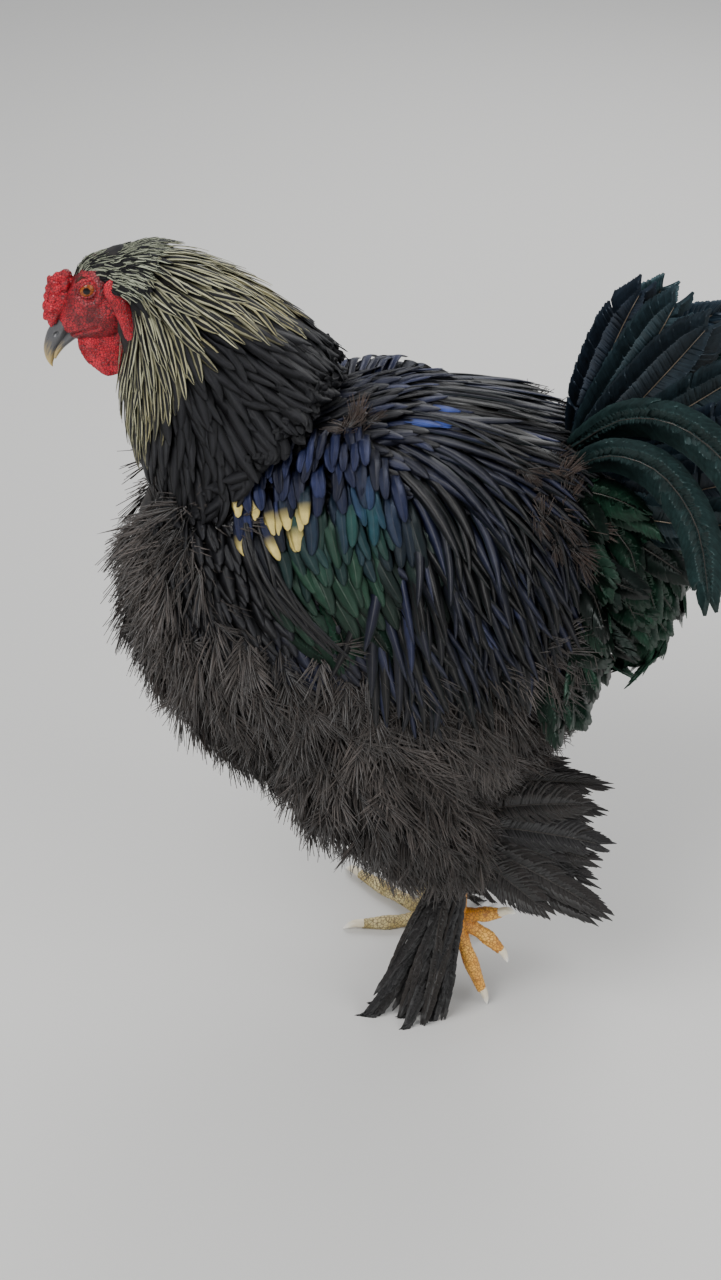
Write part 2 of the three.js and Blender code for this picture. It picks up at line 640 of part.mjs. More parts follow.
const legs = {
  left: {
    side: 1,
    lower: 18,
    hock: vec(34, midline - 50, 148),
    ankle: vec(31, midline - 44, 80),
    toes: [
      [vec(31, midline - 42, 76), vec(48, midline - 44, 80), vec(62, midline - 45, 84)],
      [vec(30, midline - 46, 72), vec(28, midline - 47, 54), vec(29, midline - 47, 36)],
      [vec(31, midline - 44, 72), vec(40, midline - 44, 44), vec(50, midline - 43, 14)],
      [vec(33, midline - 42, 72), vec(50, midline - 40, 60), vec(62, midline - 40, 48)],
    ],
    claws: [
      vec(72, midline - 45, 85),
      vec(30, midline - 47, 24),
      vec(54, midline - 42, -0.6),
      vec(67, midline - 40, 38),
    ],
    plumes: [[-12, -26], [-34, -26], [-56, -20], [-24, -14]],
  },
  right: {
    side: -1,
    lower: 0,
    hock: vec(20, midline + 48, 112),
    ankle: vec(3, 1, 16),
    toes: [
      [vec(4, 0, 7), vec(18, -6, 4.6), vec(29, -10, 3.6)],
      [vec(0, -2, 7), vec(-24, -10, 4.6), vec(-47, -15, 3.6)],
      [vec(-1, 2, 7), vec(-32, 24, 4.8), vec(-59, 44, 3.6)],
      [vec(1, 3, 7), vec(-9, 30, 4.6), vec(-18, 55, 3.6)],
    ],
    claws: [vec(41, -14, 0.2), vec(-60, -19, 0.2), vec(-71, 53, 0.2), vec(-22, 68, 0.2)],
    plumes: [[-6, -42], [12, -44], [30, -34], [2, -26]],
  },
};

const thighCore = (leg, grow = 0) => thighForm(leg.side, leg.lower).solid(8, 12, grow);
const plumeFan = { count: 6, top: 22, low: -22, length: 122, wide: 36 };
function hockPlume(leg, grow) {
  const draw = seeded(61);
  return Array.from({ length: plumeFan.count }, (_, i) => {
    const share = i / (plumeFan.count - 1);
    const rise = (mix(plumeFan.top, plumeFan.low, share) + (draw() - 0.5) * 4) * deg;
    const length = plumeFan.length * (0.86 + 0.14 * Math.sin(Math.PI * (0.15 + 0.8 * share))) - (i % 2) * 6;
    const line = Array.from({ length: 4 }, (_, k) => {
      const t = k / 3;
      const droop = -12 * t * t;
      const out = mix(1.2 * (i - 2.5), 3.4 * (i - 2.5), t) + 7 * t;
      return {
        point: vec(
          leg.hock.x - 8 + Math.cos(rise) * length * t,
          leg.hock.y - leg.side * out,
          leg.hock.z + 6 - 3 * (i - 2.5) + Math.sin(rise) * length * t + droop,
        ),
        normal: vec(0, -leg.side, 0.2),
      };
    });
    return vane(line, { wide: plumeFan.wide, shape: shapes.round, twist: leg.side * 5, grow });
  });
}
const thigh = (leg, grow = 0) => join([thighCore(leg, grow), ...hockPlume(leg, grow)]);

// Feathers down the outer side of a shank, which reach the floor beside the foot.
function shankPlume(leg, grow) {
  return leg.plumes.map(([x, out], i) => {
    const top = leg.ankle.clone().lerp(leg.hock, 0.62 - 0.1 * i);
    const tip = vec(leg.ankle.x + x, leg.ankle.y + leg.side * (out + i * 0.5), -1);
    const middle = top.clone().lerp(tip, 0.45).add(vec(0, -leg.side * 9, 4));
    const start = top.clone().add(vec(0, -leg.side * 3, 0));
    const curve = new THREE.CatmullRomCurve3([start, middle, tip]);
    const line = curve.getPoints(3).map((point) => ({ point, normal: vec(0, -leg.side, 0.1) }));
    return vane(line, { wide: 17, shape: shapes.narrow, twist: 8 * (i - 2), grow });
  });
}
const toe = (points, grow = 0) => tube(points, [1, 1.02, 0.91, 0.77].map((r) => r * toeRadius + grow), 7);
const claw = (points, tip) => {
  const root = points[points.length - 1];
  const run = root.clone().sub(points[points.length - 2]).normalize();
  const start = root.clone().addScaledVector(run, 0.6);
  const half = start.clone().lerp(tip, 0.5).add(vec(0, 0, 1.6));
  return tube([start, half, tip], [3.4, 2.3, 0.7], 6);
};
const shank = (leg, grow = 0) => {
  const above = leg.hock.clone().lerp(leg.ankle, -0.25);
  const radii = [0.93, 0.88, 0.88, 0.93, 1.01].map((r) => r * shankRadius + grow);
  return tube([above, leg.hock, leg.hock.clone().lerp(leg.ankle, 0.5), leg.ankle], radii, 10);
};
const foot = (leg, grow = 0) => join([
  ball(leg.ankle.clone().lerp(leg.toes[1][0], 0.95), 8.8 + grow, 10, 6),
  ...leg.toes.map((points) => toe(points, grow)),
]);
const clawPieces = (leg) => leg.toes.map((points, i) => claw(points, leg.claws[i]));

// The nodes

const wingsOf = (grow) => sides.map(([, side]) => wing(side, grow));
const legsOf = Object.values(legs);
add("comb", cutBy(peaComb(), [headSkull(gap), beakUpper(gap), neck(gap)]), colours.comb, 0.5);
add("neck", cutBy(neck(), [torsoRoom, headSkull(gap), ...lobes(gap)]), colours.hackle, 0.6);
add("tail", cutBy(tail(), [torsoRoom]), colours.tail, 0.5);
add("saddle", cutBy(saddle(), [torsoRoom, neck(gap), tail(gap)]), colours.saddle, 0.5);
for (const [name, side] of sides) {
  add(`wing_${name}`, cutBy(wing(side), [torsoRoom, neck(gap), saddle(gap), tail(gap)]), colours.wing, 0.5);
}
const legRooms = legsOf.map((leg) => thigh(leg, gap));
for (const [i, [name]] of sides.entries()) {
  const leg = legs[name];
  const others = [torsoRoom, legRooms[1 - i], tail(gap), ...wingsOf(gap)];
  add(`thigh_${name}`, cutBy(thigh(leg), i ? others : [others[0], ...others.slice(2)]), colours.fluff, 0.8);
  const limb = join([shank(leg), ...shankPlume(leg, 0)]);
  const shankCuts = [legRooms[i], foot(leg, gap), belowFloor, torsoRoom];
  add(`shank_${name}`, cutBy(limb, shankCuts), colours.leg, 0.6);
  add(`foot_${name}`, cutBy(foot(leg), [belowFloor]), colours.leg, 0.6);
  clawPieces(leg).forEach((piece, k) => {
    add(`claw_${name}_${k + 1}`, cutBy(piece, [foot(leg, gap), belowFloor]), colours.claw, 0.4);
  });
}
add("torso", torsoCore, colours.fluff, 0.8);

export default bird;
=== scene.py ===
# A brahma cock in feather, standing in mid step. Sizes in the script are millimetres, in the frame's axes:
# the beak points to -X, the bird's left side is -Y and the floor is z = 0.
import math
import bpy
import numpy as np
from mathutils import Matrix, Vector, noise


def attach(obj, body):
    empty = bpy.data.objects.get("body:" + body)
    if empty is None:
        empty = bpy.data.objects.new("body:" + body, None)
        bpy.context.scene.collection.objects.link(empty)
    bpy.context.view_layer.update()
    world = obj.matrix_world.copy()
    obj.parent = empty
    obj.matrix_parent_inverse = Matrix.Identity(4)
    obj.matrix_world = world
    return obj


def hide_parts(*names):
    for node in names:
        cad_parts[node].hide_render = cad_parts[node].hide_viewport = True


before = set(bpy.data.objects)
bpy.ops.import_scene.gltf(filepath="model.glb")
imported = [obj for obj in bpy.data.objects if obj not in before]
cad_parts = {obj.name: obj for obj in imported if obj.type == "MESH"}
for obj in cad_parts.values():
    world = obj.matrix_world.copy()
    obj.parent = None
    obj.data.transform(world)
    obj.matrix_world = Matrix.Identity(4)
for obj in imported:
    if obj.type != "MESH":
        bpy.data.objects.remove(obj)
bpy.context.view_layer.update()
metre = 0.001
midline = -43.0  # the bird's plane of symmetry, in y
deg = math.pi / 180
fullTurn = 2 * math.pi


# Camera: the photograph's place, angle and framing
camera = {
    "place": (217.1, -1518.4, 1199.9),
    "right": (0.9848, 0.1736, 0.0),
    "up": (-0.0920, 0.5219, 0.8480),
    "back": (0.1473, -0.8351, 0.5299),
    "lens": 74.81,
}


def makeCamera():
    data = bpy.data.cameras.new("photoView")
    data.lens = camera["lens"]
    data.sensor_width = 36
    obj = bpy.data.objects.new("photoView", data)
    bpy.context.scene.collection.objects.link(obj)
    turn = Matrix((camera["right"], camera["up"], camera["back"])).transposed().to_4x4()
    obj.matrix_world = Matrix.Translation(Vector(camera["place"]) * metre) @ turn
    bpy.context.scene.camera = obj


makeCamera()
print("stage: camera")


# Forms: the body's surfaces, read at u along and v round, with v = 0 on top and growing down the left side

def along(values, u):
    values = np.asarray(values, float)
    place = np.clip(u, 0, 1) * (len(values) - 1)
    i = np.minimum(place.astype(int), len(values) - 2)
    t = place - i
    if values.ndim > 1:
        t = t[..., None]
    a, b, c, d = (values[np.clip(i + k, 0, len(values) - 1)] for k in (-1, 0, 1, 2))
    return 0.5 * (2 * b + (c - a) * t + (2 * a - 5 * b + 4 * c - d) * t**2 + (3 * b - a - 3 * c + d) * t**3)


def unit(v):
    return v / np.maximum(np.linalg.norm(v, axis=-1, keepdims=True), 1e-9)


def dot(a, b):
    return np.sum(a * b, axis=-1, keepdims=True)


def spread(value, t):
    return value[0] + (value[1] - value[0]) * t if isinstance(value, tuple) else value + 0 * t


def angles(sides):
    return np.arange(sides) / sides * fullTurn


# One colour for each of so many feathers
def each(colour, count):
    return np.tile(colour, (count, 1))


poles = (0.015, 0.985)  # feathers stop this near a form's ends


class Form:
    # Stations are (x, y, z, lean, up, down, wide)
    def __init__(self, stations, fullness=2.2):
        self.stations = np.array(stations, float)
        self.fullness = fullness

    def at(self, u, v, height=0.0):
        x, y, z, lean, up, down, wide = np.moveaxis(along(self.stations, u), -1, 0)
        upward = np.where(np.cos(v) > 0, up, down)
        n = self.fullness
        reach = (np.abs(np.cos(v) / upward) ** n + np.abs(np.sin(v) / wide) ** n) ** (-1 / n) + height
        rise = np.cos(v) * reach
        return np.stack([x + np.sin(lean * deg) * rise, y - np.sin(v) * reach,
                         z + np.cos(lean * deg) * rise], -1)

    def slopes(self, u, v):
        shift = 0.004
        du = (self.at(u + shift, v) - self.at(u - shift, v)) / (2 * shift)
        dv = (self.at(u, v + shift) - self.at(u, v - shift)) / (2 * shift)
        return du, dv

    def normal(self, u, v):
        du, dv = self.slopes(u, v)
        return unit(np.cross(dv, du))

    # Lines that start at each (u, v) and run over the surface along flow(u, v)
    def lay(self, u, v, flow, length, steps):
        points, normals = [], []
        for i in range(steps + 1):
            du, dv = self.slopes(u, v)
            normal = unit(np.cross(dv, du))
            points.append(self.at(u, v))
            normals.append(normal)
            run = flow(u, v)
            run = unit(run - normal * dot(run, normal)) * (length / steps)[:, None]
            uu, uv, vv = dot(du, du)[:, 0], dot(du, dv)[:, 0], dot(dv, dv)[:, 0]
            ru, rv = dot(run, du)[:, 0], dot(run, dv)[:, 0]
            size = np.maximum(uu * vv - uv * uv, 1e-6)
            u = np.clip(u + (ru * vv - rv * uv) / size, *poles)
            v = v + (rv * uu - ru * uv) / size
        return np.stack(points, 1), np.stack(normals, 1), u, v


torsoForm = Form([
    (-190, midline, 337, 0, 8, 8, 8), (-186, midline, 333, 0, 38, 44, 44),
    (-172, midline, 328, 0, 65, 74, 72), (-140, midline, 319, 0, 95, 104, 97),
    (-100, midline, 311, 0, 121, 124, 111), (-55, midline, 306, 0, 139, 138, 117),
    (-8, midline, 303, 0, 148, 143, 116), (38, midline, 305, 0, 137, 130, 106),
    (76, midline, 320, 0, 108, 108, 84), (102, midline, 340, 0, 74, 78, 54),
    (114, midline, 352, 0, 40, 42, 28), (117, midline, 355, 0, 8, 8, 8),
])
neckForm = Form([
    (-197, midline, 500, 6, 32, 27, 25), (-185, midline, 493, 16, 46, 40, 33),
    (-172, midline, 478, 27, 59, 49, 43), (-155, midline, 458, 36, 68, 58, 54),
    (-134, midline, 436, 42, 70, 63, 68), (-108, midline, 412, 46, 65, 63, 82),
])
tailForm = Form([
    (76, midline, 398, 0, 20, 60, 30), (98, midline, 390, 0, 30, 82, 46), (120, midline, 378, 0, 36, 98, 47),
    (140, midline, 362, 0, 42, 86, 38), (156, midline, 350, 0, 30, 46, 22), (162, midline, 346, 0, 8, 10, 6),
], 2)


def thighForm(leg):
    side, lower = leg["side"], leg["lower"]
    rows = [(-30, 262, 50, 52, 40, 52), (-26, 225, 62, 60, 50, 62), (-18, 185, 62, 56, 50, 62),
            (-4, 150 + lower, 52, 46, 42, 58), (12, 122 + lower, 36, 32, 29, 53),
            (20, 106 + lower, 18, 18, 16, 49)]
    return Form([(x, midline - side * out, z, 90, up, down, wide) for x, z, up, down, wide, out in rows], 2)


# Meshes

def newObject(name, verts, faces, smooth=True):
    mesh = bpy.data.meshes.new(name)
    mesh.from_pydata([tuple(p) for p in np.asarray(verts) * metre], [], faces)
    mesh.update()
    obj = bpy.data.objects.new(name, mesh)
    bpy.context.scene.collection.objects.link(obj)
    if smooth:
        mesh.polygons.foreach_set("use_smooth", [True] * len(mesh.polygons))
    return obj


def pointColour(mesh, name, colours):
    attribute = mesh.color_attributes.new(name, "FLOAT_COLOR", "POINT")
    rgba = np.ones((len(mesh.vertices), 4), np.float32)
    rgba[:, :3] = colours
    attribute.data.foreach_set("color", rgba.ravel())


def cornerMap(mesh, name, perPoint):
    corner = np.empty(len(mesh.loops), np.int32)
    mesh.loops.foreach_get("vertex_index", corner)
    layer = mesh.uv_layers.new(name=name)
    layer.data.foreach_set("uv", perPoint[corner].astype(np.float32).ravel())


coat = {
    "flank": 113, "room": 12.5,  # how far out the coat stands freely, and how much further it is let
    "patch": 0.003, "mapFrom": 0.002, "mapSpan": 0.992,  # each feather's patch on the bake map
    "strips": {"neck": (0.0, 0.18), "torso": (0.2, 0.3), "wing": (0.52, 0.15), "thigh": (0.55, 0.12),
               "tail": (0.7, 0.2), "rump": (0.1, 0.2), "crown": (0.01, 0.02)},
}


# Each root's place on the bake map: a strip for each form, with u along it
def rootMap(strip, u, v):
    first, span = coat["strips"][strip]
    return np.stack([first + u * span, (v / fullTurn) % 1 * 0.9], -1)


# Over the widest part of the flanks the coat lies pressed close.
def pressed(co):
    out = co[..., 1] - midline
    past = np.maximum(np.abs(out) - coat["flank"], 0)
    flat = np.minimum(np.abs(out), coat["flank"]) + coat["room"] * (1 - np.exp(-past / coat["room"]))
    return np.stack([co[..., 0], midline + np.sign(out) * flat, co[..., 2]], -1)


def resampled(values, t):
    place = np.clip(t, 0, 1) * (values.shape[1] - 1)
    i = np.minimum(place.astype(int), values.shape[1] - 2)
    share = (place - i)[:, None]
    return values[:, i] * (1 - share) + values[:, i + 1] * share


# Steps along a blunt feather, closer together towards its tip
def tipward(t):
    return 1 - (1 - t) ** 1.5


# Feathers laid on lines: points and normals are (feathers, steps, 3). Each is a closed blade, with its edges
# curved down by camber, as shares of its half width.
def blades(name, points, normals, wide, shape, roots, tint, edge, columns=5, camber=0.3, thick=0.5, twist=0.0,
           rough=0.0, draw=None, blunt=None):
    count, rings = points.shape[:2]
    t = np.linspace(0, 1, rings)
    if blunt:
        t = tipward(t)
        points, normals = resampled(points, t), resampled(normals, t)
        shape = np.interp(t, np.linspace(0, 1, len(shape)), shape)
        shape = shape * np.sqrt(np.clip(1.01 - (np.clip(t - blunt, 0, 1) / (1 - blunt)) ** 2, 0, 1))
    run = unit(np.gradient(points, axis=1))
    upper = unit(normals - run * dot(normals, run))
    side = np.cross(run, upper)
    turn = (np.zeros(count) + twist)[:, None, None] * deg
    upper, side = upper * np.cos(turn) + side * np.sin(turn), side * np.cos(turn) - upper * np.sin(turn)
    half = 0.5 * (np.zeros(count) + wide)[:, None] * np.asarray(shape)[None, :]
    across = np.linspace(-1, 1, columns)
    back = across[1:-1][::-1] if columns > 2 else np.zeros(1)
    ringAcross = np.concatenate([across, back])
    under = np.concatenate([np.zeros(columns), np.full(len(back), -thick)])
    sway = half[:, :, None] * ringAcross
    if rough:
        edgeOnly = (np.abs(ringAcross) == 1) * draw.uniform(1 - rough, 1.0, (count, rings, 1))
        sway = sway * np.where(edgeOnly > 0, edgeOnly, 1)
    high = under - camber * half[:, :, None] * np.abs(ringAcross) ** 1.7
    co = points[:, :, None] + side[:, :, None] * sway[..., None] + upper[:, :, None] * high[..., None]
    co = pressed(co)
    size = len(ringAcross)
    index = np.arange(count * rings * size).reshape(count, rings, size)
    a, b = index[:, :-1], index[:, 1:]
    quads = np.stack([a, b, np.roll(b, -1, 2), np.roll(a, -1, 2)], -1).reshape(-1, 4)
    first = index[:, 0, :].reshape(-1, size)
    last = index[:, -1, ::-1].reshape(-1, size)
    loops = np.concatenate([quads.ravel(), first.ravel(), last.ravel()])
    sizes = np.concatenate([np.full(len(quads), 4), np.full(2 * count, size)])
    starts = np.concatenate([[0], np.cumsum(sizes)[:-1]])
    mesh = bpy.data.meshes.new(name)
    mesh.vertices.add(co.size // 3)
    mesh.vertices.foreach_set("co", (co * metre).astype(np.float32).ravel())
    mesh.loops.add(len(loops))
    mesh.loops.foreach_set("vertex_index", loops.astype(np.int32))
    mesh.polygons.add(len(sizes))
    mesh.polygons.foreach_set("loop_start", starts.astype(np.int32))
    mesh.polygons.foreach_set("use_smooth", np.ones(len(sizes), bool))
    mesh.update(calc_edges=True)
    mesh.validate()
    local = np.empty((count, rings, size, 2))
    local[..., 0] = ringAcross * 0.5 + 0.5
    local[..., 1] = t[None, :, None]
    flat = local.reshape(-1, 2)
    patch = (roots % 1.0) * coat["mapSpan"] + coat["mapFrom"]
    baked = patch[:, None, None, :] + local * coat["patch"]
    cornerMap(mesh, "OFBake", baked.reshape(-1, 2))
    cornerMap(mesh, "feather", flat)
    grow = np.ones((1, rings * size, 1))
    pointColour(mesh, "tint", (np.asarray(tint)[:, None, :] * grow).reshape(-1, 3))
    pointColour(mesh, "edge", (np.asarray(edge)[:, None, :] * grow).reshape(-1, 3))
    obj = bpy.data.objects.new(name, mesh)
    bpy.context.scene.collection.objects.link(obj)
    return obj


def srgb(*levels):
    levels = np.array(levels) / 255
    return np.where(levels < 0.04045, levels / 12.92, ((levels + 0.055) / 1.055) ** 2.4)


def blendTo(a, b, share):
    share = np.clip(share, 0, 1)
    share = share[:, None] if np.ndim(share) else share
    return a * (1 - share) + b * share


def step(low, high, value):
    t = np.clip((value - low) / (high - low), 0, 1)
    return t * t * (3 - 2 * t)


rowLook = {"along": 400, "round": 120, "jitter": 0.16, "stagger": (0.75, 0.25)}


# Rows of roots over a part of a form, so many millimetres apart along it and round it.
def rootRows(form, area, draw):
    us, vs = [], []
    uFrom, uTo = area["u"]
    vFrom, vTo = (x * deg for x in area["v"])
    middle = (vFrom + vTo) / 2
    tiers = np.linspace(uFrom, uTo, rowLook["along"])
    line = form.at(tiers, middle + 0 * tiers)
    length = np.concatenate([[0], np.cumsum(np.linalg.norm(np.diff(line, axis=0), axis=1))])
    marks = np.arange(0, length[-1], area["pitch"][0])
    for k, u in enumerate(np.interp(marks, length, tiers)):
        v = np.linspace(vFrom, vTo, rowLook["round"])
        arc = np.linalg.norm(np.diff(form.at(u + 0 * v, v), axis=0), axis=1).sum()
        number = max(int(arc / area["pitch"][1]), 1)
        share = (np.arange(number) + rowLook["stagger"][k % 2]) / number
        offU, offV = draw.normal(0, rowLook["jitter"], number), draw.normal(0, rowLook["jitter"], number)
        us.append(np.full(number, u) + offU * area["pitch"][0] * (uTo - uFrom) / length[-1])
        vs.append(vFrom + share * (vTo - vFrom) + offV * (vTo - vFrom) / number)
    return np.clip(np.concatenate(us), 0.01, 0.99), np.concatenate(vs)


# Lays a feather at each root. look gives length, sunk and high in millimetres, yaw and curl as spreads.
def layRoots(form, u, v, flow, look, draw):
    count = len(u)
    share = (u - u.min()) / max(float(np.ptp(u)), 1e-6)
    length = spread(look["length"], share) * draw.uniform(0.85, 1.12, count)
    wander = draw.normal(0, look.get("yaw", 0.06), (count, 3))

    def astray(a, b):
        return unit(flow(a, b)) + wander

    points, normals, tipU, tipV = form.lay(u, v, astray, length, look["steps"])
    t = np.linspace(0, 1, look["steps"] + 1)
    high = spread(look["high"], share) + draw.normal(0, look.get("ruffle", 0.6), count)
    lift = -look["sunk"] * (1 - t) ** 2 + high[:, None] * t**1.3
    run = unit(np.gradient(points, axis=1))
    side = np.cross(run, normals)
    bend = draw.normal(0, look.get("curl", 0.04), count) * length
    points = points + normals * lift[..., None] + side * (bend[:, None] * t**2)[..., None]
    return points, normals, tipU, tipV


# A downy feather: barbs on both sides of each line, as fine slivers that curve towards its tip.
def barbsOn(points, normals, look, draw):
    count, rings = points.shape[:2]
    number = look["barbs"]
    t = (np.arange(number) // 2 + 0.5) / (number / 2)
    t = np.clip(t[None, :] + draw.normal(0, 0.03, (count, number)), 0, 0.999)
    hand = np.where(np.arange(number) % 2, 1.0, -1.0)[None, :] * np.ones((count, 1))
    place = t * (rings - 1)
    i = place.astype(int)
    f = (place - i)[..., None]
    rows = np.arange(count)[:, None]
    start = points[rows, i] * (1 - f) + points[rows, np.minimum(i + 1, rings - 1)] * f
    normal = unit(normals[rows, i] + draw.normal(0, 0.25, (count, number, 3)))
    run = unit(np.gradient(points, axis=1))[rows, i]
    side = np.cross(run, normal) * hand[..., None]
    opened = look["open"] * deg * (1 - 0.75 * t) + draw.normal(0, 0.1, (count, number))
    out = run * np.cos(opened)[..., None] + side * np.sin(opened)[..., None]
    reach = look["reach"] * (0.75 + 0.5 * np.sin(math.pi * np.clip(t, 0.05, 1)))
    reach = reach * draw.uniform(0.75, 1.2, (count, number))
    s = np.linspace(0, 1, look["barbSteps"] + 1)[None, None, :, None]
    away = reach[..., None, None]
    lines = start[:, :, None] + out[:, :, None] * away * s + run[:, :, None] * away * 0.35 * s**2
    lines = lines + normal[:, :, None] * away * look["puff"] * s**1.5
    lines = lines - np.array([0, 0, 1.0]) * away * look["droop"] * s**2
    shape = (count * number, look["barbSteps"] + 1, 3)
    ringNormals = np.broadcast_to(normal[:, :, None], lines.shape)
    return lines.reshape(shape), ringNormals.reshape(shape)


# A broad feather built of its barbs: thin slivers that overlap on both sides of a shaft, with a few splits.
def vaneBarbs(points, normals, wide, look, draw):
    count, rings = points.shape[:2]
    pairs, ahead = look["pairs"], look["ahead"]
    length = np.linalg.norm(np.diff(points, axis=1), axis=-1).sum(1)
    run = unit(np.gradient(points, axis=1))
    upper = unit(normals - run * dot(normals, run))
    side = np.cross(run, upper)
    t0 = np.linspace(0.0, 1, pairs)
    t0 = np.tile(t0, (count, 2)) + draw.normal(0, 0.3 / pairs, (count, 2 * pairs))
    hand = np.repeat([1.0, -1.0], pairs)[None, :] * np.ones((count, 1))
    end = t0 + ahead
    for _ in range(look["splits"]):
        split = draw.uniform(0.2, 1.0, (count, 1)) + 10 * (hand != draw.choice([-1.0, 1.0], (count, 1)))
        off = t0 - split
        end = end + np.sign(off) * look["gape"] * np.exp(-np.abs(off) / 0.05)
    outline = np.interp(end / (1 + ahead), np.linspace(0, 1, len(look["outline"])), look["outline"])
    halfWide = 0.5 * (np.zeros(count) + wide)[:, None] * outline
    halfWide = halfWide * draw.uniform(1 - look["fray"], 1.0, halfWide.shape)
    s = np.linspace(0, 1, look["barbSteps"] + 1)[None, None, :]
    t = t0[..., None] + (end - t0)[..., None] * s**1.15
    inside = np.clip(t, 0, 1)
    place = inside * (rings - 1)
    i = np.minimum(place.astype(int), rings - 2)
    f = (place - i)[..., None]
    rows = np.arange(count)[:, None, None]
    mixed = [part[rows, i] * (1 - f) + part[rows, i + 1] * f for part in (points, run, upper, side)]
    over = ((t - inside) * length[:, None, None])[..., None]
    away = (hand * halfWide)[..., None] * np.sin(s * math.pi / 2) ** 0.9
    drop = -look["camber"] * np.abs(away) * s
    lines = mixed[0] + mixed[1] * over + mixed[3] * away[..., None] + mixed[2] * drop[..., None]
    shape = (count * 2 * pairs, look["barbSteps"] + 1, 3)
    return lines.reshape(shape), unit(mixed[2]).reshape(shape), np.repeat(length / pairs, 2 * pairs)


shaft = {"wide": 1.5, "taper": 0.25, "lift": 0.25, "colour": srgb(58, 54, 50), "streak": srgb(150, 145, 135)}


vaneLook = {
    "pairs": 60, "ahead": 0.16, "splits": 1, "gape": 0.02, "fray": 0.06,
    "outline": [0.3, 0.7, 0.95, 1.0, 1.0, 0.95, 0.75, 0.2],
    "barbSteps": 3, "camber": 0.14, "barbWide": 3.0, "barbShape": [0.8, 1.0, 0.9, 0.4], "tilt": 2.5,
    "edgeLight": 1.0,
}


def vanePiece(name, points, normals, wide, look, roots, tint, draw, shaftTint=None):
    lines, lineNormals, gap = vaneBarbs(points, normals, wide, look, draw)
    number = 2 * look["pairs"]
    hue = np.repeat(tint, number, 0) * draw.uniform(0.8, 1.2, (len(lines), 1))
    twist = np.tile(np.repeat([look["tilt"], -look["tilt"]], look["pairs"]), len(points))
    barbs = blades(name, lines, lineNormals, gap * look["barbWide"], look["barbShape"],
                   np.repeat(roots, number, 0), hue, hue * look["edgeLight"], columns=2, camber=0.0,
                   thick=0.3, twist=twist)
    if shaftTint is None:
        shaftTint = each(shaft["colour"], len(points))
    taper = np.linspace(1, shaft["taper"], points.shape[1])
    rod = blades(name + "_rod", points + normals * shaft["lift"], normals, shaft["wide"], taper, roots,
                 shaftTint, shaftTint, columns=3, camber=0.6, thick=0.8)
    return joinPieces(barbs, rod)


def joinPieces(kept, other):
    bpy.context.view_layer.update()
    with bpy.context.temp_override(active_object=kept, selected_editable_objects=[kept, other]):
        bpy.ops.object.join()
    return kept


# Materials

def nodeIn(tree, kind, **settings):
    made = tree.nodes.new(kind)
    for key, value in settings.items():
        setattr(made, key, value)
    return made


def mathNode(tree, operation, a, b=None, c=None):
    made = nodeIn(tree, "ShaderNodeMath", operation=operation)
    for socket, value in zip(made.inputs, (a, b, c)):
        if value is None:
            continue
        if isinstance(value, (int, float)):
            socket.default_value = value
        else:
            tree.links.new(value, socket)
    return made.outputs[0]


def ramp(tree, value, low, high, start=0.0, end=1.0):
    made = nodeIn(tree, "ShaderNodeMapRange", interpolation_type="SMOOTHSTEP")
    for socket, given in zip(("Value", "From Min", "From Max", "To Min", "To Max"),
                             (value, low, high, start, end)):
        if isinstance(given, (int, float)):
            made.inputs[socket].default_value = given
        else:
            tree.links.new(given, made.inputs[socket])
    return made.outputs["Result"]


def mixColour(tree, factor, a, b, mode="MIX"):
    made = nodeIn(tree, "ShaderNodeMix", data_type="RGBA", blend_type=mode)
    for socket, given in zip((made.inputs[0], made.inputs[6], made.inputs[7]), (factor, a, b)):
        if isinstance(given, (int, float)):
            socket.default_value = given
        elif isinstance(given, (tuple, np.ndarray)):
            socket.default_value = (*given, 1)
        else:
            tree.links.new(given, socket)
    return made.outputs[2]


# The feather map of a mesh: across it in x and from root to tip in y
def featherMap(tree, stretch=None):
    place = nodeIn(tree, "ShaderNodeUVMap", uv_map="feather").outputs[0]
    if stretch is None:
        return place
    mapping = nodeIn(tree, "ShaderNodeMapping")
    mapping.inputs["Scale"].default_value = stretch
    tree.links.new(place, mapping.inputs["Vector"])
    return mapping.outputs[0]


def splitMap(tree):
    place = nodeIn(tree, "ShaderNodeSeparateXYZ")
    tree.links.new(featherMap(tree), place.inputs[0])
    return place.outputs


def noiseIn(tree, vector, scale, detail):
    made = nodeIn(tree, "ShaderNodeTexNoise")
    made.inputs["Scale"].default_value = scale
    made.inputs["Detail"].default_value = detail
    tree.links.new(vector, made.inputs["Vector"])
    return made.outputs[0]


def objectPlace(tree):
    return nodeIn(tree, "ShaderNodeTexCoord").outputs["Object"]


def bumpTo(tree, shader, height, strength, distance):
    bump = nodeIn(tree, "ShaderNodeBump")
    bump.inputs["Strength"].default_value = strength
    bump.inputs["Distance"].default_value = distance
    tree.links.new(height, bump.inputs["Height"])
    tree.links.new(bump.outputs[0], shader.inputs["Normal"])


def newGroup(name, inputs, outputs):
    tree = bpy.data.node_groups.new(name, "ShaderNodeTree")
    for label, kind, value in inputs:
        socket = tree.interface.new_socket(label, in_out="INPUT", socket_type=kind)
        socket.default_value = value
    for label, kind in outputs:
        tree.interface.new_socket(label, in_out="OUTPUT", socket_type=kind)
    return tree, nodeIn(tree, "NodeGroupInput"), nodeIn(tree, "NodeGroupOutput")


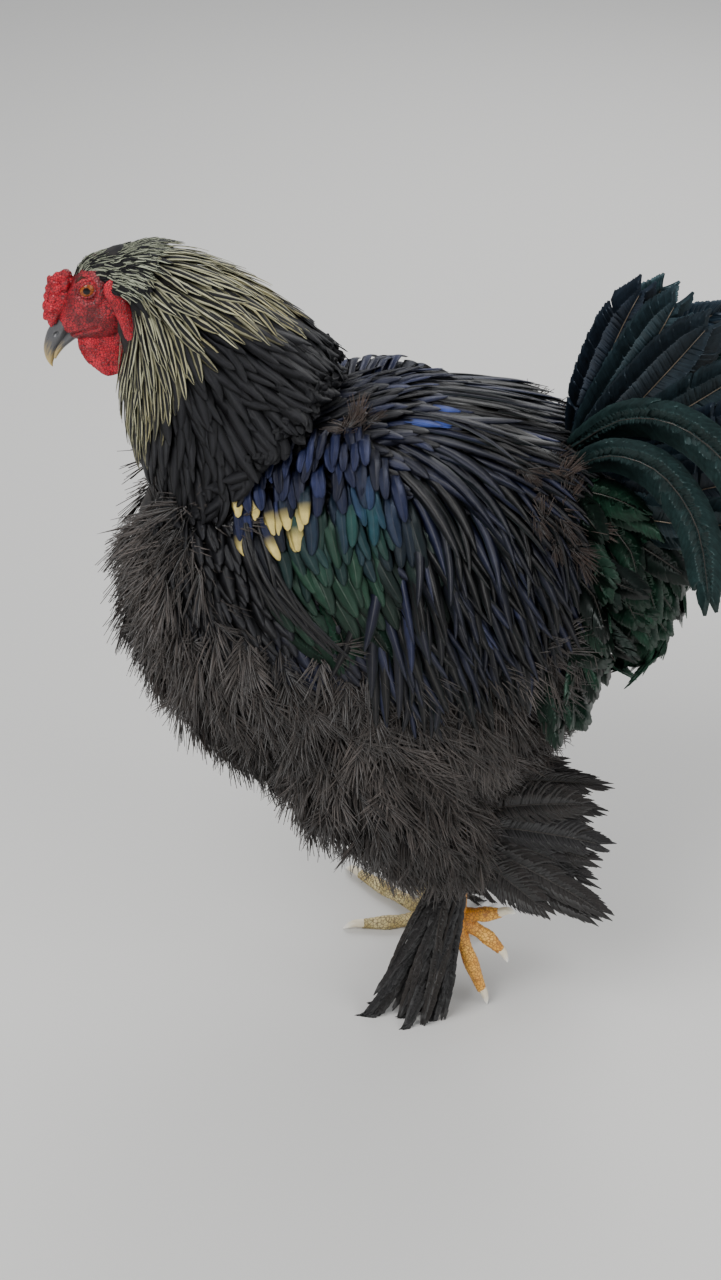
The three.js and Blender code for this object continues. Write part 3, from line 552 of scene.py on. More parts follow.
# Marks of one feather, read from its own map
def makeVaneMarks():
    tree, given, result = newGroup("vaneMarks", [
        ("Barbs", "NodeSocketFloat", 60.0), ("Slant", "NodeSocketFloat", 12.0),
        ("Rim", "NodeSocketFloat", 0.4), ("Softness", "NodeSocketFloat", 0.2),
        ("Shaft", "NodeSocketFloat", 0.08),
    ], [("Barb", "NodeSocketFloat"), ("Rim", "NodeSocketFloat"), ("Shaft", "NodeSocketFloat"),
        ("Along", "NodeSocketFloat"), ("Mottle", "NodeSocketFloat")])
    across, rise = splitMap(tree)[:2]
    away = mathNode(tree, "ABSOLUTE", mathNode(tree, "MULTIPLY_ADD", across, 2.0, -1.0))
    cloud = noiseIn(tree, objectPlace(tree), 140, 3)
    wave = mathNode(tree, "MULTIPLY", rise, given.outputs["Barbs"])
    slant = mathNode(tree, "MULTIPLY", given.outputs["Slant"], -1.0)
    wave = mathNode(tree, "MULTIPLY_ADD", away, slant, wave)
    wave = mathNode(tree, "MULTIPLY_ADD", cloud, 2.5, wave)
    sine = mathNode(tree, "SINE", mathNode(tree, "MULTIPLY", wave, fullTurn))
    barb = mathNode(tree, "MULTIPLY_ADD", sine, 0.5, 0.5)
    edgeFrom = mathNode(tree, "SUBTRACT", 1.0, given.outputs["Rim"])
    edgeTo = mathNode(tree, "ADD", edgeFrom, given.outputs["Softness"])
    tree.links.new(barb, result.inputs["Barb"])
    tree.links.new(ramp(tree, away, edgeFrom, edgeTo), result.inputs["Rim"])
    tree.links.new(ramp(tree, away, 0.0, given.outputs["Shaft"], 1.0, 0.0), result.inputs["Shaft"])
    tree.links.new(rise, result.inputs["Along"])
    tree.links.new(cloud, result.inputs["Mottle"])
    return tree


vaneMarks = makeVaneMarks()


def newMaterial(name):
    made = bpy.data.materials.new(name)
    made.use_nodes = True
    tree = made.node_tree
    return made, tree, tree.nodes["Principled BSDF"]


def setShader(shader, values):
    for label, value in values.items():
        shader.inputs[label].default_value = value


def featherFinish(name, look):
    made, tree, shader = newMaterial(name)
    marks = nodeIn(tree, "ShaderNodeGroup", node_tree=vaneMarks)
    for label in ("Barbs", "Slant", "Rim", "Softness", "Shaft"):
        marks.inputs[label].default_value = look.get(label, marks.inputs[label].default_value)
    tint = nodeIn(tree, "ShaderNodeAttribute", attribute_name="tint").outputs["Color"]
    edge = nodeIn(tree, "ShaderNodeAttribute", attribute_name="edge").outputs["Color"]
    colour = mixColour(tree, marks.outputs["Rim"], tint, edge)
    pale = mathNode(tree, "MULTIPLY", marks.outputs["Shaft"], look.get("shaftPale", 0.25))
    colour = mixColour(tree, pale, colour, shaft["streak"])
    shade = ramp(tree, marks.outputs["Barb"], 0.0, 1.0, 1 - look.get("barbDeep", 0.2), 1.0)
    shade = mathNode(tree, "MULTIPLY", shade, ramp(tree, marks.outputs["Mottle"], 0.3, 0.7, 0.82, 1.15))
    # Painted shade: each feather is darkened towards its root, where the feathers over it shade it, and so
    # looks lit towards its tip.
    root = ramp(tree, marks.outputs["Along"], 0.0, 0.45, look.get("paintedRootShade", 0.6), 1.0)
    shade = mathNode(tree, "MULTIPLY", shade, root)
    grey = nodeIn(tree, "ShaderNodeCombineColor")
    for socket in grey.inputs:
        tree.links.new(shade, socket)
    tree.links.new(mixColour(tree, 1.0, colour, grey.outputs[0], "MULTIPLY"), shader.inputs["Base Color"])
    height = mathNode(tree, "MULTIPLY_ADD", marks.outputs["Shaft"], 0.8, marks.outputs["Barb"])
    bumpTo(tree, shader, height, look.get("bump", 0.35), 0.0004)
    setShader(shader, look["shader"])
    return made


hackleFinish = featherFinish("hackleFeather", {
    "Barbs": 46.0, "Slant": 4.0, "Rim": 0.6, "Softness": 0.2, "Shaft": 0.06, "shaftPale": 0.0,
    "barbDeep": 0.35, "paintedRootShade": 0.45, "bump": 0.6, "shader": {"Roughness": 0.55, "Specular IOR Level": 0.3},
})
sheenFinish = featherFinish("sheenFeather", {
    "Barbs": 60.0, "Slant": 9.0, "Rim": 0.3, "Softness": 0.4, "Shaft": 0.06, "shaftPale": 0.12,
    "barbDeep": 0.4, "bump": 0.5, "shader": {"Roughness": 0.36, "Metallic": 0.35, "Specular IOR Level": 0.35},
})
saddleFinish = featherFinish("saddleFeather", {
    "Barbs": 90.0, "Slant": 6.0, "Rim": 0.3, "Softness": 0.4, "Shaft": 0.12, "shaftPale": 0.13,
    "barbDeep": 0.4, "shader": {"Roughness": 0.36, "Metallic": 0.2, "Specular IOR Level": 0.4},
})
capeFinish = featherFinish("capeFeather", {
    "Barbs": 50.0, "Slant": 8.0, "Rim": 0.4, "Softness": 0.5, "Shaft": 0.06, "shaftPale": 0.08,
    "barbDeep": 0.35, "shader": {"Roughness": 0.45, "Metallic": 0.1, "Specular IOR Level": 0.35},
})
downFinish = featherFinish("downFluff", {
    "Barbs": 3.0, "Slant": 0.0, "Rim": 0.6, "Softness": 0.6, "Shaft": 0.3, "shaftPale": 0.0, "barbDeep": 0.1,
    "paintedRootShade": 0.4, "bump": 0.0,
    "shader": {"Roughness": 0.8, "Specular IOR Level": 0.2, "Sheen Weight": 0.12, "Sheen Roughness": 0.5},
})
softFinish = featherFinish("softFeather", {
    "Barbs": 6.0, "Slant": 0.0, "Rim": 0.5, "Softness": 0.5, "Shaft": 0.1, "shaftPale": 0.0, "barbDeep": 0.2,
    "paintedRootShade": 0.6, "bump": 0.1,
    "shader": {"Roughness": 0.6, "Specular IOR Level": 0.3, "Sheen Weight": 0.08, "Sheen Roughness": 0.5},
})
vaneFinish = featherFinish("tailVane", {
    "Barbs": 4.0, "Slant": 0.0, "Rim": 0.5, "Softness": 0.5, "Shaft": 0.1, "shaftPale": 0.0, "barbDeep": 0.15,
    "paintedRootShade": 0.75, "bump": 0.1,
    "shader": {"Roughness": 0.34, "Metallic": 0.35, "Specular IOR Level": 0.45},
})
print("stage: feather finishes")


# Colours of the coat, by place. Each answer is an array of one colour a feather.
black = srgb(13, 13, 16)
charcoal = srgb(23, 23, 27)
brownBlack = srgb(41, 36, 33)
brownGrey = srgb(92, 85, 81)
cream = srgb(216, 214, 176)
straw = srgb(220, 202, 128)
slateGreen = srgb(44, 68, 67)
leafGreen = srgb(24, 52, 38)
inkBlue = srgb(34, 41, 76)
paleTip = srgb(228, 206, 122)


def varied(colours, amount, draw):
    return np.clip(colours * draw.uniform(1 - amount, 1 + amount, (len(colours), 1)), 0, 1)


def finishPiece(obj, material, nodes=(), body="root"):
    obj.data.materials.clear()
    obj.data.materials.append(material)
    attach(obj, body)
    if nodes:
        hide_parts(*nodes)
    return obj


# Hackle: long narrow feathers from the crown to the shoulders, pale at the edges and black along the middle

hackle = {
    "seed": 11,
    "area": {"u": (0.0, 0.86), "v": (-180, 180), "pitch": (6.4, 6.2)},
    "look": {"length": (26, 66), "steps": 10, "sunk": 7, "high": (1.2, 4.5), "yaw": 0.1, "curl": 0.1,
             "ruffle": 1.2},
    "wide": (3.8, 8.0),
    "shape": [0.45, 0.8, 0.95, 1.0, 1.0, 0.97, 0.92, 0.84, 0.7],
    "bare": {"u": 0.18, "away": (44, 138)},
    "creamEnd": {"away": [0, 20, 45, 60, 90, 115, 150, 180],
                 "u": [0.9, 0.8, 0.7, 0.68, 0.73, 0.74, 0.8, 0.82]},
}


def hackleFlow(u, v):
    front = (1 - np.cos(v)) / 2
    down = -0.5 - 0.5 * np.abs(np.sin(v))
    return np.stack([0.95 - 1.0 * front, 0 * v, down + (-1 - down) * front], -1)


# How far each feather has turned from cream to charcoal: the cape behind and below the hackle is dark.
def capeShare(tipU, tipV, draw):
    away = np.abs((tipV / deg + 180) % 360 - 180)
    edge = np.interp(away, hackle["creamEnd"]["away"], hackle["creamEnd"]["u"])
    return step(-0.02, 0.03, tipU - edge + draw.normal(0, 0.015, len(tipU)))


def makeHackle():
    draw = np.random.default_rng(hackle["seed"])
    u, v = rootRows(neckForm, hackle["area"], draw)
    away = np.abs((v / deg + 180) % 360 - 180)
    bare = hackle["bare"]
    kept = (u > bare["u"]) | (away < bare["away"][0]) | (away > bare["away"][1])
    u, v = u[kept], v[kept]
    points, normals, tipU, tipV = layRoots(neckForm, u, v, hackleFlow, hackle["look"], draw)
    dark = capeShare(tipU, tipV, draw)
    tint = blendTo(each(black, len(u)), charcoal, dark)
    pale = blendTo(each(cream, len(u)), straw, draw.uniform(0, 0.8, len(u)) * step(0.2, 0.6, u))
    edge = varied(blendTo(pale, charcoal, dark), 0.18, draw)
    wide = spread(hackle["wide"], u) * draw.uniform(0.85, 1.15, len(u)) * (1 + 0.5 * dark)
    roots = rootMap("neck", u, v)
    twist = draw.normal(0, 9, len(u))
    return blades("hackle", points, normals, wide, hackle["shape"], roots, tint, edge, columns=3, camber=0.2,
                  thick=0.3, twist=twist, rough=0.2, draw=draw, blunt=0.6)


finishPiece(makeHackle(), hackleFinish, ["neck"])
print("stage: hackle")


# Back and cape: short broad feathers with a smooth sheen over the shoulders and back

def backFlow(u, v):
    flank = np.minimum(np.abs(np.sin(v)) * 1.1, 1)
    return np.stack([1 - 0.35 * flank, 0 * v, -0.1 - 0.75 * flank], -1)


back = {
    "seed": 21,
    "area": {"u": (0.2, 0.62), "v": (-84, 84), "pitch": (7.5, 7.5)},
    "look": {"length": (30, 42), "steps": 8, "sunk": 6, "high": 3.0, "yaw": 0.14, "curl": 0.08,
             "ruffle": 1.2},
    "wide": 11.5,
    "shape": [0.4, 0.85, 1.0, 1.0, 0.92, 0.8],
    # A painted sheen: the place of a bright blue glint on the back, and its colours.
    "paintedSheen": (0.525, 10.0),
    "gloss": srgb(44, 70, 150), "paintedSheenEdge": srgb(52, 80, 160),
}


def makeBack():
    draw = np.random.default_rng(back["seed"])
    u, v = rootRows(torsoForm, back["area"], draw)
    points, normals = layRoots(torsoForm, u, v, backFlow, back["look"], draw)[:2]
    blue = np.clip(draw.normal(0.25, 0.3, len(u)), 0, 1) * step(0.34, 0.5, u)
    tint = varied(blendTo(each(charcoal, len(u)), inkBlue, blue), 0.3, draw)
    edge = varied(blendTo(each(black, len(u)), inkBlue, blue * 0.8), 0.3, draw)
    # Painted sheen: a few back feathers near this spot take a bright blue colour that stands in for light
    # caught by their sheen.
    near = np.hypot((u - back["paintedSheen"][0]) / 0.016, (v / deg - back["paintedSheen"][1]) / 3.6)
    paintedSheen = (near < 1)[:, None] * 0.7
    tint = tint * (1 - paintedSheen) + back["gloss"] * paintedSheen
    edge = edge * (1 - paintedSheen) + back["paintedSheenEdge"] * paintedSheen
    roots = rootMap("torso", u, v)
    wide = back["wide"] * draw.uniform(0.75, 1.15, len(u))
    return blades("back_feathers", points, normals, wide, back["shape"], roots, tint, edge, columns=3,
                  camber=0.2, thick=0.3, twist=draw.normal(0, 9, len(u)), rough=0.25, draw=draw, blunt=0.55)


finishPiece(makeBack(), capeFinish)
print("stage: back")


# Breast, belly and thighs: downy feathers, each a shaft line with soft barbs on both sides

def bellyFlow(u, v):
    return np.stack([0.35 + 0.5 * u, 0 * v, -0.25 - 0.75 * np.abs(np.sin(v))], -1)


def thighFlow(u, v):
    return np.stack([0.3 + 0 * v, 0 * v, -1 + 0 * v], -1)


down = {
    "areas": [
        ("breast_down", {"u": (0.02, 0.3), "v": (34, 326), "pitch": (12, 12)}),
        ("belly_down_left", {"u": (0.3, 0.93), "v": (74, 180), "pitch": (12.6, 13)}),
        ("belly_down_right", {"u": (0.3, 0.93), "v": (180, 286), "pitch": (12.6, 13)}),
    ],
    "look": {"length": 32, "steps": 4, "sunk": 8, "high": 2.6, "yaw": 0.42, "curl": 0.2, "ruffle": 3.2},
    "barb": {"barbs": 30, "barbSteps": 2, "open": 60, "reach": 15.5, "puff": 0.22, "droop": 0.08},
    "barbWide": 1.15,
    "barbShape": [0.9, 0.95, 0.1],
}


def makeDown(name, form, u, v, flow, roots, draw, settings, tone):
    points, normals = layRoots(form, u, v, flow, settings["look"], draw)[:2]
    lines, lineNormals = barbsOn(points, normals, settings["barb"], draw)
    number = settings["barb"]["barbs"]
    tint = np.repeat(varied(tone, 0.3, draw), number, 0) * draw.uniform(0.75, 1.3, (len(lines), 1))
    edge = tint * 1.5
    wide = settings["barbWide"] * draw.uniform(0.7, 1.3, len(lines))
    return blades(name, lines, lineNormals, wide, settings["barbShape"], np.repeat(roots, number, 0), tint,
                  edge, columns=2, camber=0.0, thick=0.4)


# Brown-black down with greyer patches
def downTone(points, draw):
    cloud = np.array([noise.noise(Vector(point) / 34) for point in points])
    light = np.clip(0.3 + 0.9 * cloud + draw.normal(0, 0.16, len(points)), 0, 1)
    return blendTo(each(brownBlack, len(points)), brownGrey, light * 0.75)


for seed, (name, area) in enumerate(down["areas"]):
    draw = np.random.default_rng(100 + seed)
    u, v = rootRows(torsoForm, area, draw)
    roots = rootMap("torso", u, v)
    tone = downTone(torsoForm.at(u, v), draw)
    piece = makeDown(name, torsoForm, u, v, bellyFlow, roots, draw, down, tone)
    finishPiece(piece, downFinish)
print("stage: down")


# Wings: rows of feathers over the side of the torso, from the flight feathers up to the small ones, each row
# between a line of roots and a line of tips as seen from the side, (x, z)

wing = {
    "rows": [  # how many, the line of roots, the line of tips, width and height over the torso
        (10, [(-60, 352), (24, 412)], [(-20, 316), (82, 318)], 20, 2.5),
        (12, [(-84, 364), (14, 410)], [(-44, 324), (58, 336)], 17, 4),
        (13, [(-92, 372), (6, 416)], [(-54, 334), (36, 352)], 15, 5.4),
        (14, [(-97, 380), (0, 420)], [(-64, 346), (24, 368)], 13, 6.6),
        (15, [(-101, 388), (-5, 425)], [(-74, 357), (12, 382)], 11.5, 7.6),
        (16, [(-105, 396), (-10, 430)], [(-83, 367), (2, 394)], 10.5, 8.4),
        (16, [(-108, 403), (-14, 434)], [(-91, 376), (-5, 404)], 9.8, 9.1),
        (16, [(-110, 410), (-19, 438)], [(-98, 385), (-11, 413)], 9.2, 9.7),
        (15, [(-112, 416), (-25, 441)], [(-103, 394), (-17, 421)], 8.8, 10.2),
        (14, [(-113, 422), (-32, 444)], [(-107, 403), (-25, 428)], 8.4, 10.6),
        (13, [(-112, 428), (-40, 446)], [(-108, 411), (-33, 433)], 8, 10.8),
    ],
    "front": (16, [(-114, 424), (-100, 384)], [(-78, 352), (-26, 322)], 5.2, 11),
    "shape": [0.4, 0.8, 0.95, 1.0, 1.0, 1.0],
    "steps": 9,
    "creamTips": {"x": (-108, -58), "z": (370, 408), "share": 0.62},
}


def onTorso(x, z, side, height=0.0):
    low, high = np.zeros(x.shape), np.ones(x.shape)
    for _ in range(22):
        u = (low + high) / 2
        short = torsoForm.at(u, 0 * u)[..., 0] < x
        low, high = np.where(short, u, low), np.where(short, high, u)
    u = (low + high) / 2
    top, bottom = np.full(x.shape, 0.02), np.full(x.shape, math.pi - 0.02)
    for _ in range(22):
        v = (top + bottom) / 2
        above = torsoForm.at(u, v, height)[..., 2] > z
        top, bottom = np.where(above, v, top), np.where(above, bottom, v)
    v = side * (top + bottom) / 2
    return torsoForm.at(u, v, height), torsoForm.normal(u, v), u, v


def wingTint(tips, tier, draw):
    x, z = tips[:, 0], tips[:, 1]
    count = len(x)
    lower = each(blendTo(black, leafGreen, 0.4), count)
    upper = blendTo(each(black, count), inkBlue, draw.uniform(0.15, 1.0, count))
    tint = blendTo(lower, upper, np.full(count, step(2.5, 6, tier)))
    green = step(-74, -58, x) * (1 - step(-14, 2, x)) * (1 - step(392, 404, z))
    tint = blendTo(tint, leafGreen * 1.35, green * draw.uniform(0.2, 1.0, count))
    tint = blendTo(tint, black, (1 - step(-80, -62, x)) * (tier < 6) * 0.8)
    teal = np.exp(-((x + 20) ** 2 + (z - 398) ** 2) / 90)
    tint = blendTo(tint, srgb(28, 82, 100), teal * 0.8)
    box = wing["creamTips"]
    pale = (x > box["x"][0]) & (x < box["x"][1]) & (z > box["z"][0]) & (z < box["z"][1])
    return tint, pale & (draw.random(count) < box["share"])


# One row over the side: each feather from its root on one line to its tip on the other.
def wingRow(row, tier, side, draw):
    number, rootLine, tipLine, wide, high = row
    t = np.linspace(0, 1, wing["steps"] + 1)
    share = np.clip((np.arange(number) + draw.normal(0, 0.25, number)) / (number - 1), 0, 1)
    roots, tips = (np.array(a) + share[:, None] * (np.array(b) - a) for a, b in (rootLine, tipLine))
    tips = tips + draw.normal(0, 2.6, tips.shape)
    line = roots[:, None] + (tips - roots)[:, None] * t[None, :, None]
    away = np.stack([-(tips - roots)[:, 1], (tips - roots)[:, 0]], -1)
    bow = draw.normal(0.03, 0.05, number)
    line = line + (away * bow[:, None])[:, None] * np.sin(math.pi * t)[None, :, None]
    point, normal, u, v = onTorso(line[..., 0], line[..., 1], side)
    lift = -4 * (1 - t) ** 2 + (high + draw.normal(0, 0.8, (number, 1))) * np.minimum(t * 2.2, 1)
    tint, pale = wingTint(tips, tier, draw)
    place = rootMap("wing", u[:, 0], v[:, 0])
    wide = wide * draw.uniform(0.8, 1.15, number)
    return point + normal * lift[..., None], normal, wide, tint, pale, place


def makeWing(name, side):
    draw = np.random.default_rng(31)
    sets = [wingRow(row, tier, side, draw) for tier, row in enumerate(wing["rows"])]
    front = wingRow(wing["front"], 6, side, draw)
    flight, sets = sets[:2], sets[2:]
    points, normals, wide, tint, pale, roots = (np.concatenate(part) for part in zip(*sets))
    tint = varied(tint, 0.3, draw)
    edge = varied(blendTo(tint, black, 0.5), 0.2, draw)
    small = blades(name, points, normals, wide, wing["shape"], roots, tint, edge, camber=0.2, thick=0.35,
                   twist=side * draw.normal(-4, 7, len(points)), rough=0.22, draw=draw, blunt=0.6)
    paintTips(small, pale, wing["steps"] + 1, 8)
    points, normals, wide, tint, pale, roots = (np.concatenate(part) for part in zip(*flight))
    big = vanePiece(name + "_flight", points, normals, wide, vaneLook, roots, varied(tint, 0.2, draw), draw)
    points, normals, wide, tint, pale, roots = front
    long = blades(name + "_front", points, normals, wide, [0.5, 0.9, 1.0, 0.95, 0.8, 0.6], roots,
                  each(black * 0.8, len(points)), varied(each(srgb(58, 58, 66), len(points)), 0.4, draw),
                  camber=0.4, thick=0.35, twist=draw.normal(0, 14, len(points)), rough=0.2, draw=draw,
                  blunt=0.6)
    return small, big, long


# Pale tips on some feathers: the last steps of each take the pale colour.
def paintTips(obj, chosen, rings, size):
    mesh = obj.data
    t = tipward(np.linspace(0, 1, rings))
    weight = (chosen[:, None] * step(0.62, 0.8, t)[None, :])[..., None] * np.ones((1, 1, size))
    for name in ("tint", "edge"):
        layer = mesh.color_attributes[name]
        rgba = np.empty(len(mesh.vertices) * 4, np.float32)
        layer.data.foreach_get("color", rgba)
        rgba = rgba.reshape(-1, 4)
        rgba[:, :3] = blendTo(rgba[:, :3], paleTip, weight.ravel() * 0.92)
        layer.data.foreach_set("color", rgba.ravel())


for name, side in (("wing_left_feathers", 1), ("wing_right_feathers", -1)):
    small, big, long = makeWing(name, side)
    finishPiece(small, sheenFinish, ["wing_left" if side > 0 else "wing_right"])
    finishPiece(big, vaneFinish)
    finishPiece(long, saddleFinish)
print("stage: wings")


# Loose brown down between the back feathers and over the wing
tufts = {
    "spots": [(0.475, 17, 4), (0.70, 22, 3), (0.75, 32, 5), (0.78, 40, 5)],
    "look": {"length": 15, "steps": 4, "sunk": 0, "high": 10, "yaw": 0.9, "curl": 0.3, "ruffle": 3.0},
    "barb": {"barbs": 44, "barbSteps": 2, "open": 74, "reach": 9.5, "puff": 0.4, "droop": 0.05},
    "barbWide": 0.75,
    "barbShape": [0.9, 0.95, 0.1],
}
draw = np.random.default_rng(35)
number = [spot[2] for spot in tufts["spots"]]
u = np.repeat([spot[0] for spot in tufts["spots"]], number) + draw.normal(0, 0.012, sum(number))
v = (np.repeat([spot[1] for spot in tufts["spots"]], number) + draw.normal(0, 4, sum(number))) * deg
paired = u > 0.6
u, v = np.concatenate([u, u[paired]]), np.concatenate([v, -v[paired]])
roots = rootMap("torso", u, v)
tone = each(srgb(52, 42, 37), len(u))
piece = makeDown("back_tufts", torsoForm, u, v, backFlow, roots, draw, tufts, tone)
finishPiece(piece, downFinish)


# Saddle: long narrow feathers with a pale shaft streak, which fall from the back over the wing tips

saddle = {
    "seed": 41,
    "area": {"u": (0.52, 0.79), "v": (-62, 62), "pitch": (6.5, 5.6)},
    "look": {"length": (92, 74), "steps": 11, "sunk": 3, "high": (12.5, 9), "yaw": 0.1, "curl": 0.11,
             "ruffle": 2.0},
    "wide": 8.4,
    "shape": [0.4, 0.75, 0.92, 1.0, 1.0, 0.97, 0.9, 0.8, 0.66, 0.5],
}


def saddleFlow(u, v):
    flank = np.minimum(np.abs(np.sin(v)) * 1.25, 1)
    return np.stack([1 - 0.76 * flank, 0 * v, -0.2 - 0.8 * flank], -1)


def makeSaddle():
    draw = np.random.default_rng(saddle["seed"])
    u, v = rootRows(torsoForm, saddle["area"], draw)
    points, normals = layRoots(torsoForm, u, v, saddleFlow, saddle["look"], draw)[:2]
    blue = np.clip(draw.normal(0.05, 0.25, len(u)), 0, 0.8)
    tint = varied(blendTo(each(black, len(u)), inkBlue, blue), 0.3, draw)
    edge = varied(blendTo(each(black * 1.3, len(u)), slateGreen, draw.uniform(0, 0.6, len(u))), 0.3, draw)
    roots = rootMap("torso", u, v)
    wide = saddle["wide"] * draw.uniform(0.8, 1.2, len(u))
    return blades("saddle_feathers", points, normals, wide, saddle["shape"], roots, tint, edge, columns=3,
                  camber=0.14, thick=0.3, twist=draw.normal(0, 11, len(u)), rough=0.2, draw=draw, blunt=0.7)


finishPiece(makeSaddle(), saddleFinish, ["saddle"])
print("stage: saddle")


# Tail: a tent of flight feathers, two sickles a side and tiers of leaf-shaped coverts over its root

tail = {
    "flight": {"count": 8, "top": 75, "low": -4, "length": 122, "wide": 40, "root": (94, 418), "stack": 3.6,
               "shaft": srgb(96, 84, 70)},
    "flightVane": dict(vaneLook, pairs=84, ahead=0.1, splits=2, gape=0.03, fray=0.05, edgeLight=1.2,
                       outline=[0.25, 0.55, 0.82, 0.96, 1.0, 1.0, 0.96, 0.8, 0.3]),
    "sickles": [[(92, 428, 16), (124, 458, 30), (160, 464, 46), (194, 440, 55), (212, 398, 58)],
                [(94, 420, 26), (120, 438, 40), (150, 434, 51), (174, 404, 58), (184, 360, 60)]],
    "sickleWide": 25,
    "covertArea": {"u": (0.02, 0.84), "v": (8, 172), "pitch": (15, 17)},
    "rumpArea": {"u": (0.75, 0.94), "v": (26, 124), "pitch": (13, 16)},
    "covertLook": {"length": (52, 42), "steps": 7, "sunk": 6, "high": (7, 9), "yaw": 0.2, "curl": 0.12,
                   "ruffle": 2.2},
    "rumpLook": {"length": (60, 54), "steps": 7, "sunk": 0, "high": (18, 14), "yaw": 0.16, "curl": 0.12,
                 "ruffle": 2.0},
    "covertWide": 24,
    "covertVane": dict(vaneLook, pairs=29, ahead=0.2, gape=0.025, camber=0.24, barbWide=3.2, edgeLight=1.25,
                       outline=[0.3, 0.75, 0.97, 1.0, 1.0, 0.92, 0.7, 0.2]),
}


def makeTailFlight():
    draw = np.random.default_rng(51)
    look = tail["flight"]
    lines, lineNormals, roots = [], [], []
    t = np.linspace(0, 1, 12)
    for side in (1, -1):
        for i in range(look["count"]):
            share = i / (look["count"] - 1)
            rise = (look["top"] + (look["low"] - look["top"]) * share + draw.uniform(-3, 3)) * deg
            length = look["length"] * (0.95 + 0.09 * math.sin(math.pi * share) + 0.05 * draw.random())
            bend = (4 - 10 * share + draw.normal(0, 4)) * t**2 * deg
            out = 4 + 1.9 * i + (5 + 2.9 * i) * t + 4 * np.sin(math.pi * t)
            x = look["root"][0] + np.cos(rise - bend) * length * t
            z = look["root"][1] - look["stack"] * i + np.sin(rise - bend) * length * t
            lines.append(np.stack([x, midline - side * out, z], -1))
            lineNormals.append(np.tile([0, -side, 0.12], (len(t), 1)))
            roots.append((0.7 + 0.01 * i, 0.3 + 0.2 * side + 0.02 * i))
    count = len(lines)
    tint = blendTo(each(charcoal, count), slateGreen, draw.uniform(0.3, 1.0, count))
    tint = varied(blendTo(tint, inkBlue, draw.uniform(0, 0.35, count)), 0.2, draw)
    return vanePiece("tail_flight_feathers", np.array(lines), unit(np.array(lineNormals, float)),
                     look["wide"] * draw.uniform(0.85, 1.05, count), tail["flightVane"], np.array(roots),
                     tint, draw, each(look["shaft"], count))


def makeSickles():
    draw = np.random.default_rng(52)
    lines, lineNormals = [], []
    for side in (1, -1):
        for points in tail["sickles"]:
            place = np.array([(x, midline - side * out, z) for x, z, out in points], float)
            line = along(place, np.linspace(0, 1, 14))
            lines.append(line)
            lineNormals.append(np.tile([0.1, -side, 0.25], (len(line), 1)))
    count = len(lines)
    tint = varied(blendTo(each(black, count), slateGreen, 0.75), 0.25, draw)
    roots = np.stack([0.8 + 0.01 * np.arange(count), 0.2 + 0.1 * np.arange(count)], -1)
    return vanePiece("tail_sickles", np.array(lines), unit(np.array(lineNormals)), tail["sickleWide"],
                     tail["flightVane"], roots, tint, draw)


def covertFlow(u, v):
    return np.stack([0.62 + 0 * v, 0 * v, -0.8 + 0.35 * (np.cos(v) > 0.2)], -1)


def makeCoverts(name, form, area, look, seed, strip):
    draw = np.random.default_rng(seed)
    sets = []
    for side in (1, -1):
        u, v = rootRows(form, area, draw)
        v = v * side
        points, normals = layRoots(form, u, v, covertFlow, look, draw)[:2]
        sets.append((points, normals, u, v))
    points, normals, u, v = (np.concatenate(part) for part in zip(*sets))
    count = len(u)
    green = np.clip(draw.normal(0.6, 0.35, count), 0.0, 1.2)
    tint = varied(blendTo(each(black, count), leafGreen * 1.5, green), 0.3, draw)
    roots = rootMap(strip, u, v)
    return vanePiece(name, points, normals, tail["covertWide"] * draw.uniform(0.75, 1.15, count),
                     tail["covertVane"], roots, tint, draw)


finishPiece(makeTailFlight(), vaneFinish, ["tail"])
finishPiece(makeSickles(), vaneFinish)
finishPiece(makeCoverts("tail_coverts", tailForm, tail["covertArea"], tail["covertLook"], 53, "tail"),
            vaneFinish)
finishPiece(makeCoverts("rump_coverts", torsoForm, tail["rumpArea"], tail["rumpLook"], 54, "rump"),
            vaneFinish)
print("stage: tail")


# Legs: where each joint and toe tip lies

legs = {
    "left": {
        "side": 1, "lower": 18, "hock": (34, midline - 50, 148), "ankle": (31, midline - 44, 80),
        "toes": [
            [(31, midline - 42, 76), (48, midline - 44, 80), (62, midline - 45, 84)],
            [(30, midline - 46, 72), (28, midline - 47, 54), (29, midline - 47, 36)],
            [(31, midline - 44, 72), (40, midline - 44, 44), (50, midline - 43, 14)],
            [(33, midline - 42, 72), (50, midline - 40, 60), (62, midline - 40, 48)],
        ],
        "plumes": [(-12, -26), (-34, -26), (-56, -20), (-24, -14)],
    },
    "right": {
        "side": -1, "lower": 0, "hock": (20, midline + 48, 112), "ankle": (3, 1, 16),
        "toes": [
            [(4, 0, 7), (18, -6, 4.6), (29, -10, 3.6)],
            [(0, -2, 7), (-24, -10, 4.6), (-47, -15, 3.6)],
            [(-1, 2, 7), (-32, 24, 4.8), (-59, 44, 3.6)],
            [(1, 3, 7), (-9, 30, 4.6), (-18, 55, 3.6)],
        ],
        "plumes": [(-6, -42), (12, -44), (30, -34), (2, -26)],
    },
}
thighDown = {
    "area": {"u": (0.04, 0.88), "v": (0, 360), "pitch": (12.8, 13.2)},
    "look": {"length": 30, "steps": 4, "sunk": 8, "high": 2.2, "yaw": 0.36, "curl": 0.2, "ruffle": 2.8},
    "barb": {"barbs": 30, "barbSteps": 2, "open": 57, "reach": 14.5, "puff": 0.2, "droop": 0.08},
    "barbWide": 1.15,
    "barbShape": down["barbShape"],
}
hockFan = {
    "count": 17, "top": 26, "low": -28, "length": 108, "wide": 34, "root": (-8, 6), "stack": 1.2, "sag": 12,
    "vane": dict(vaneLook, ahead=0.14, splits=3, gape=0.035, fray=0.3, camber=0.16, barbWide=1.9, tilt=5,
                 edgeLight=1.5, barbShape=[0.8, 1.0, 0.8, 0.15],
                 outline=[0.3, 0.65, 0.9, 1.0, 1.0, 0.92, 0.7, 0.2]),
}


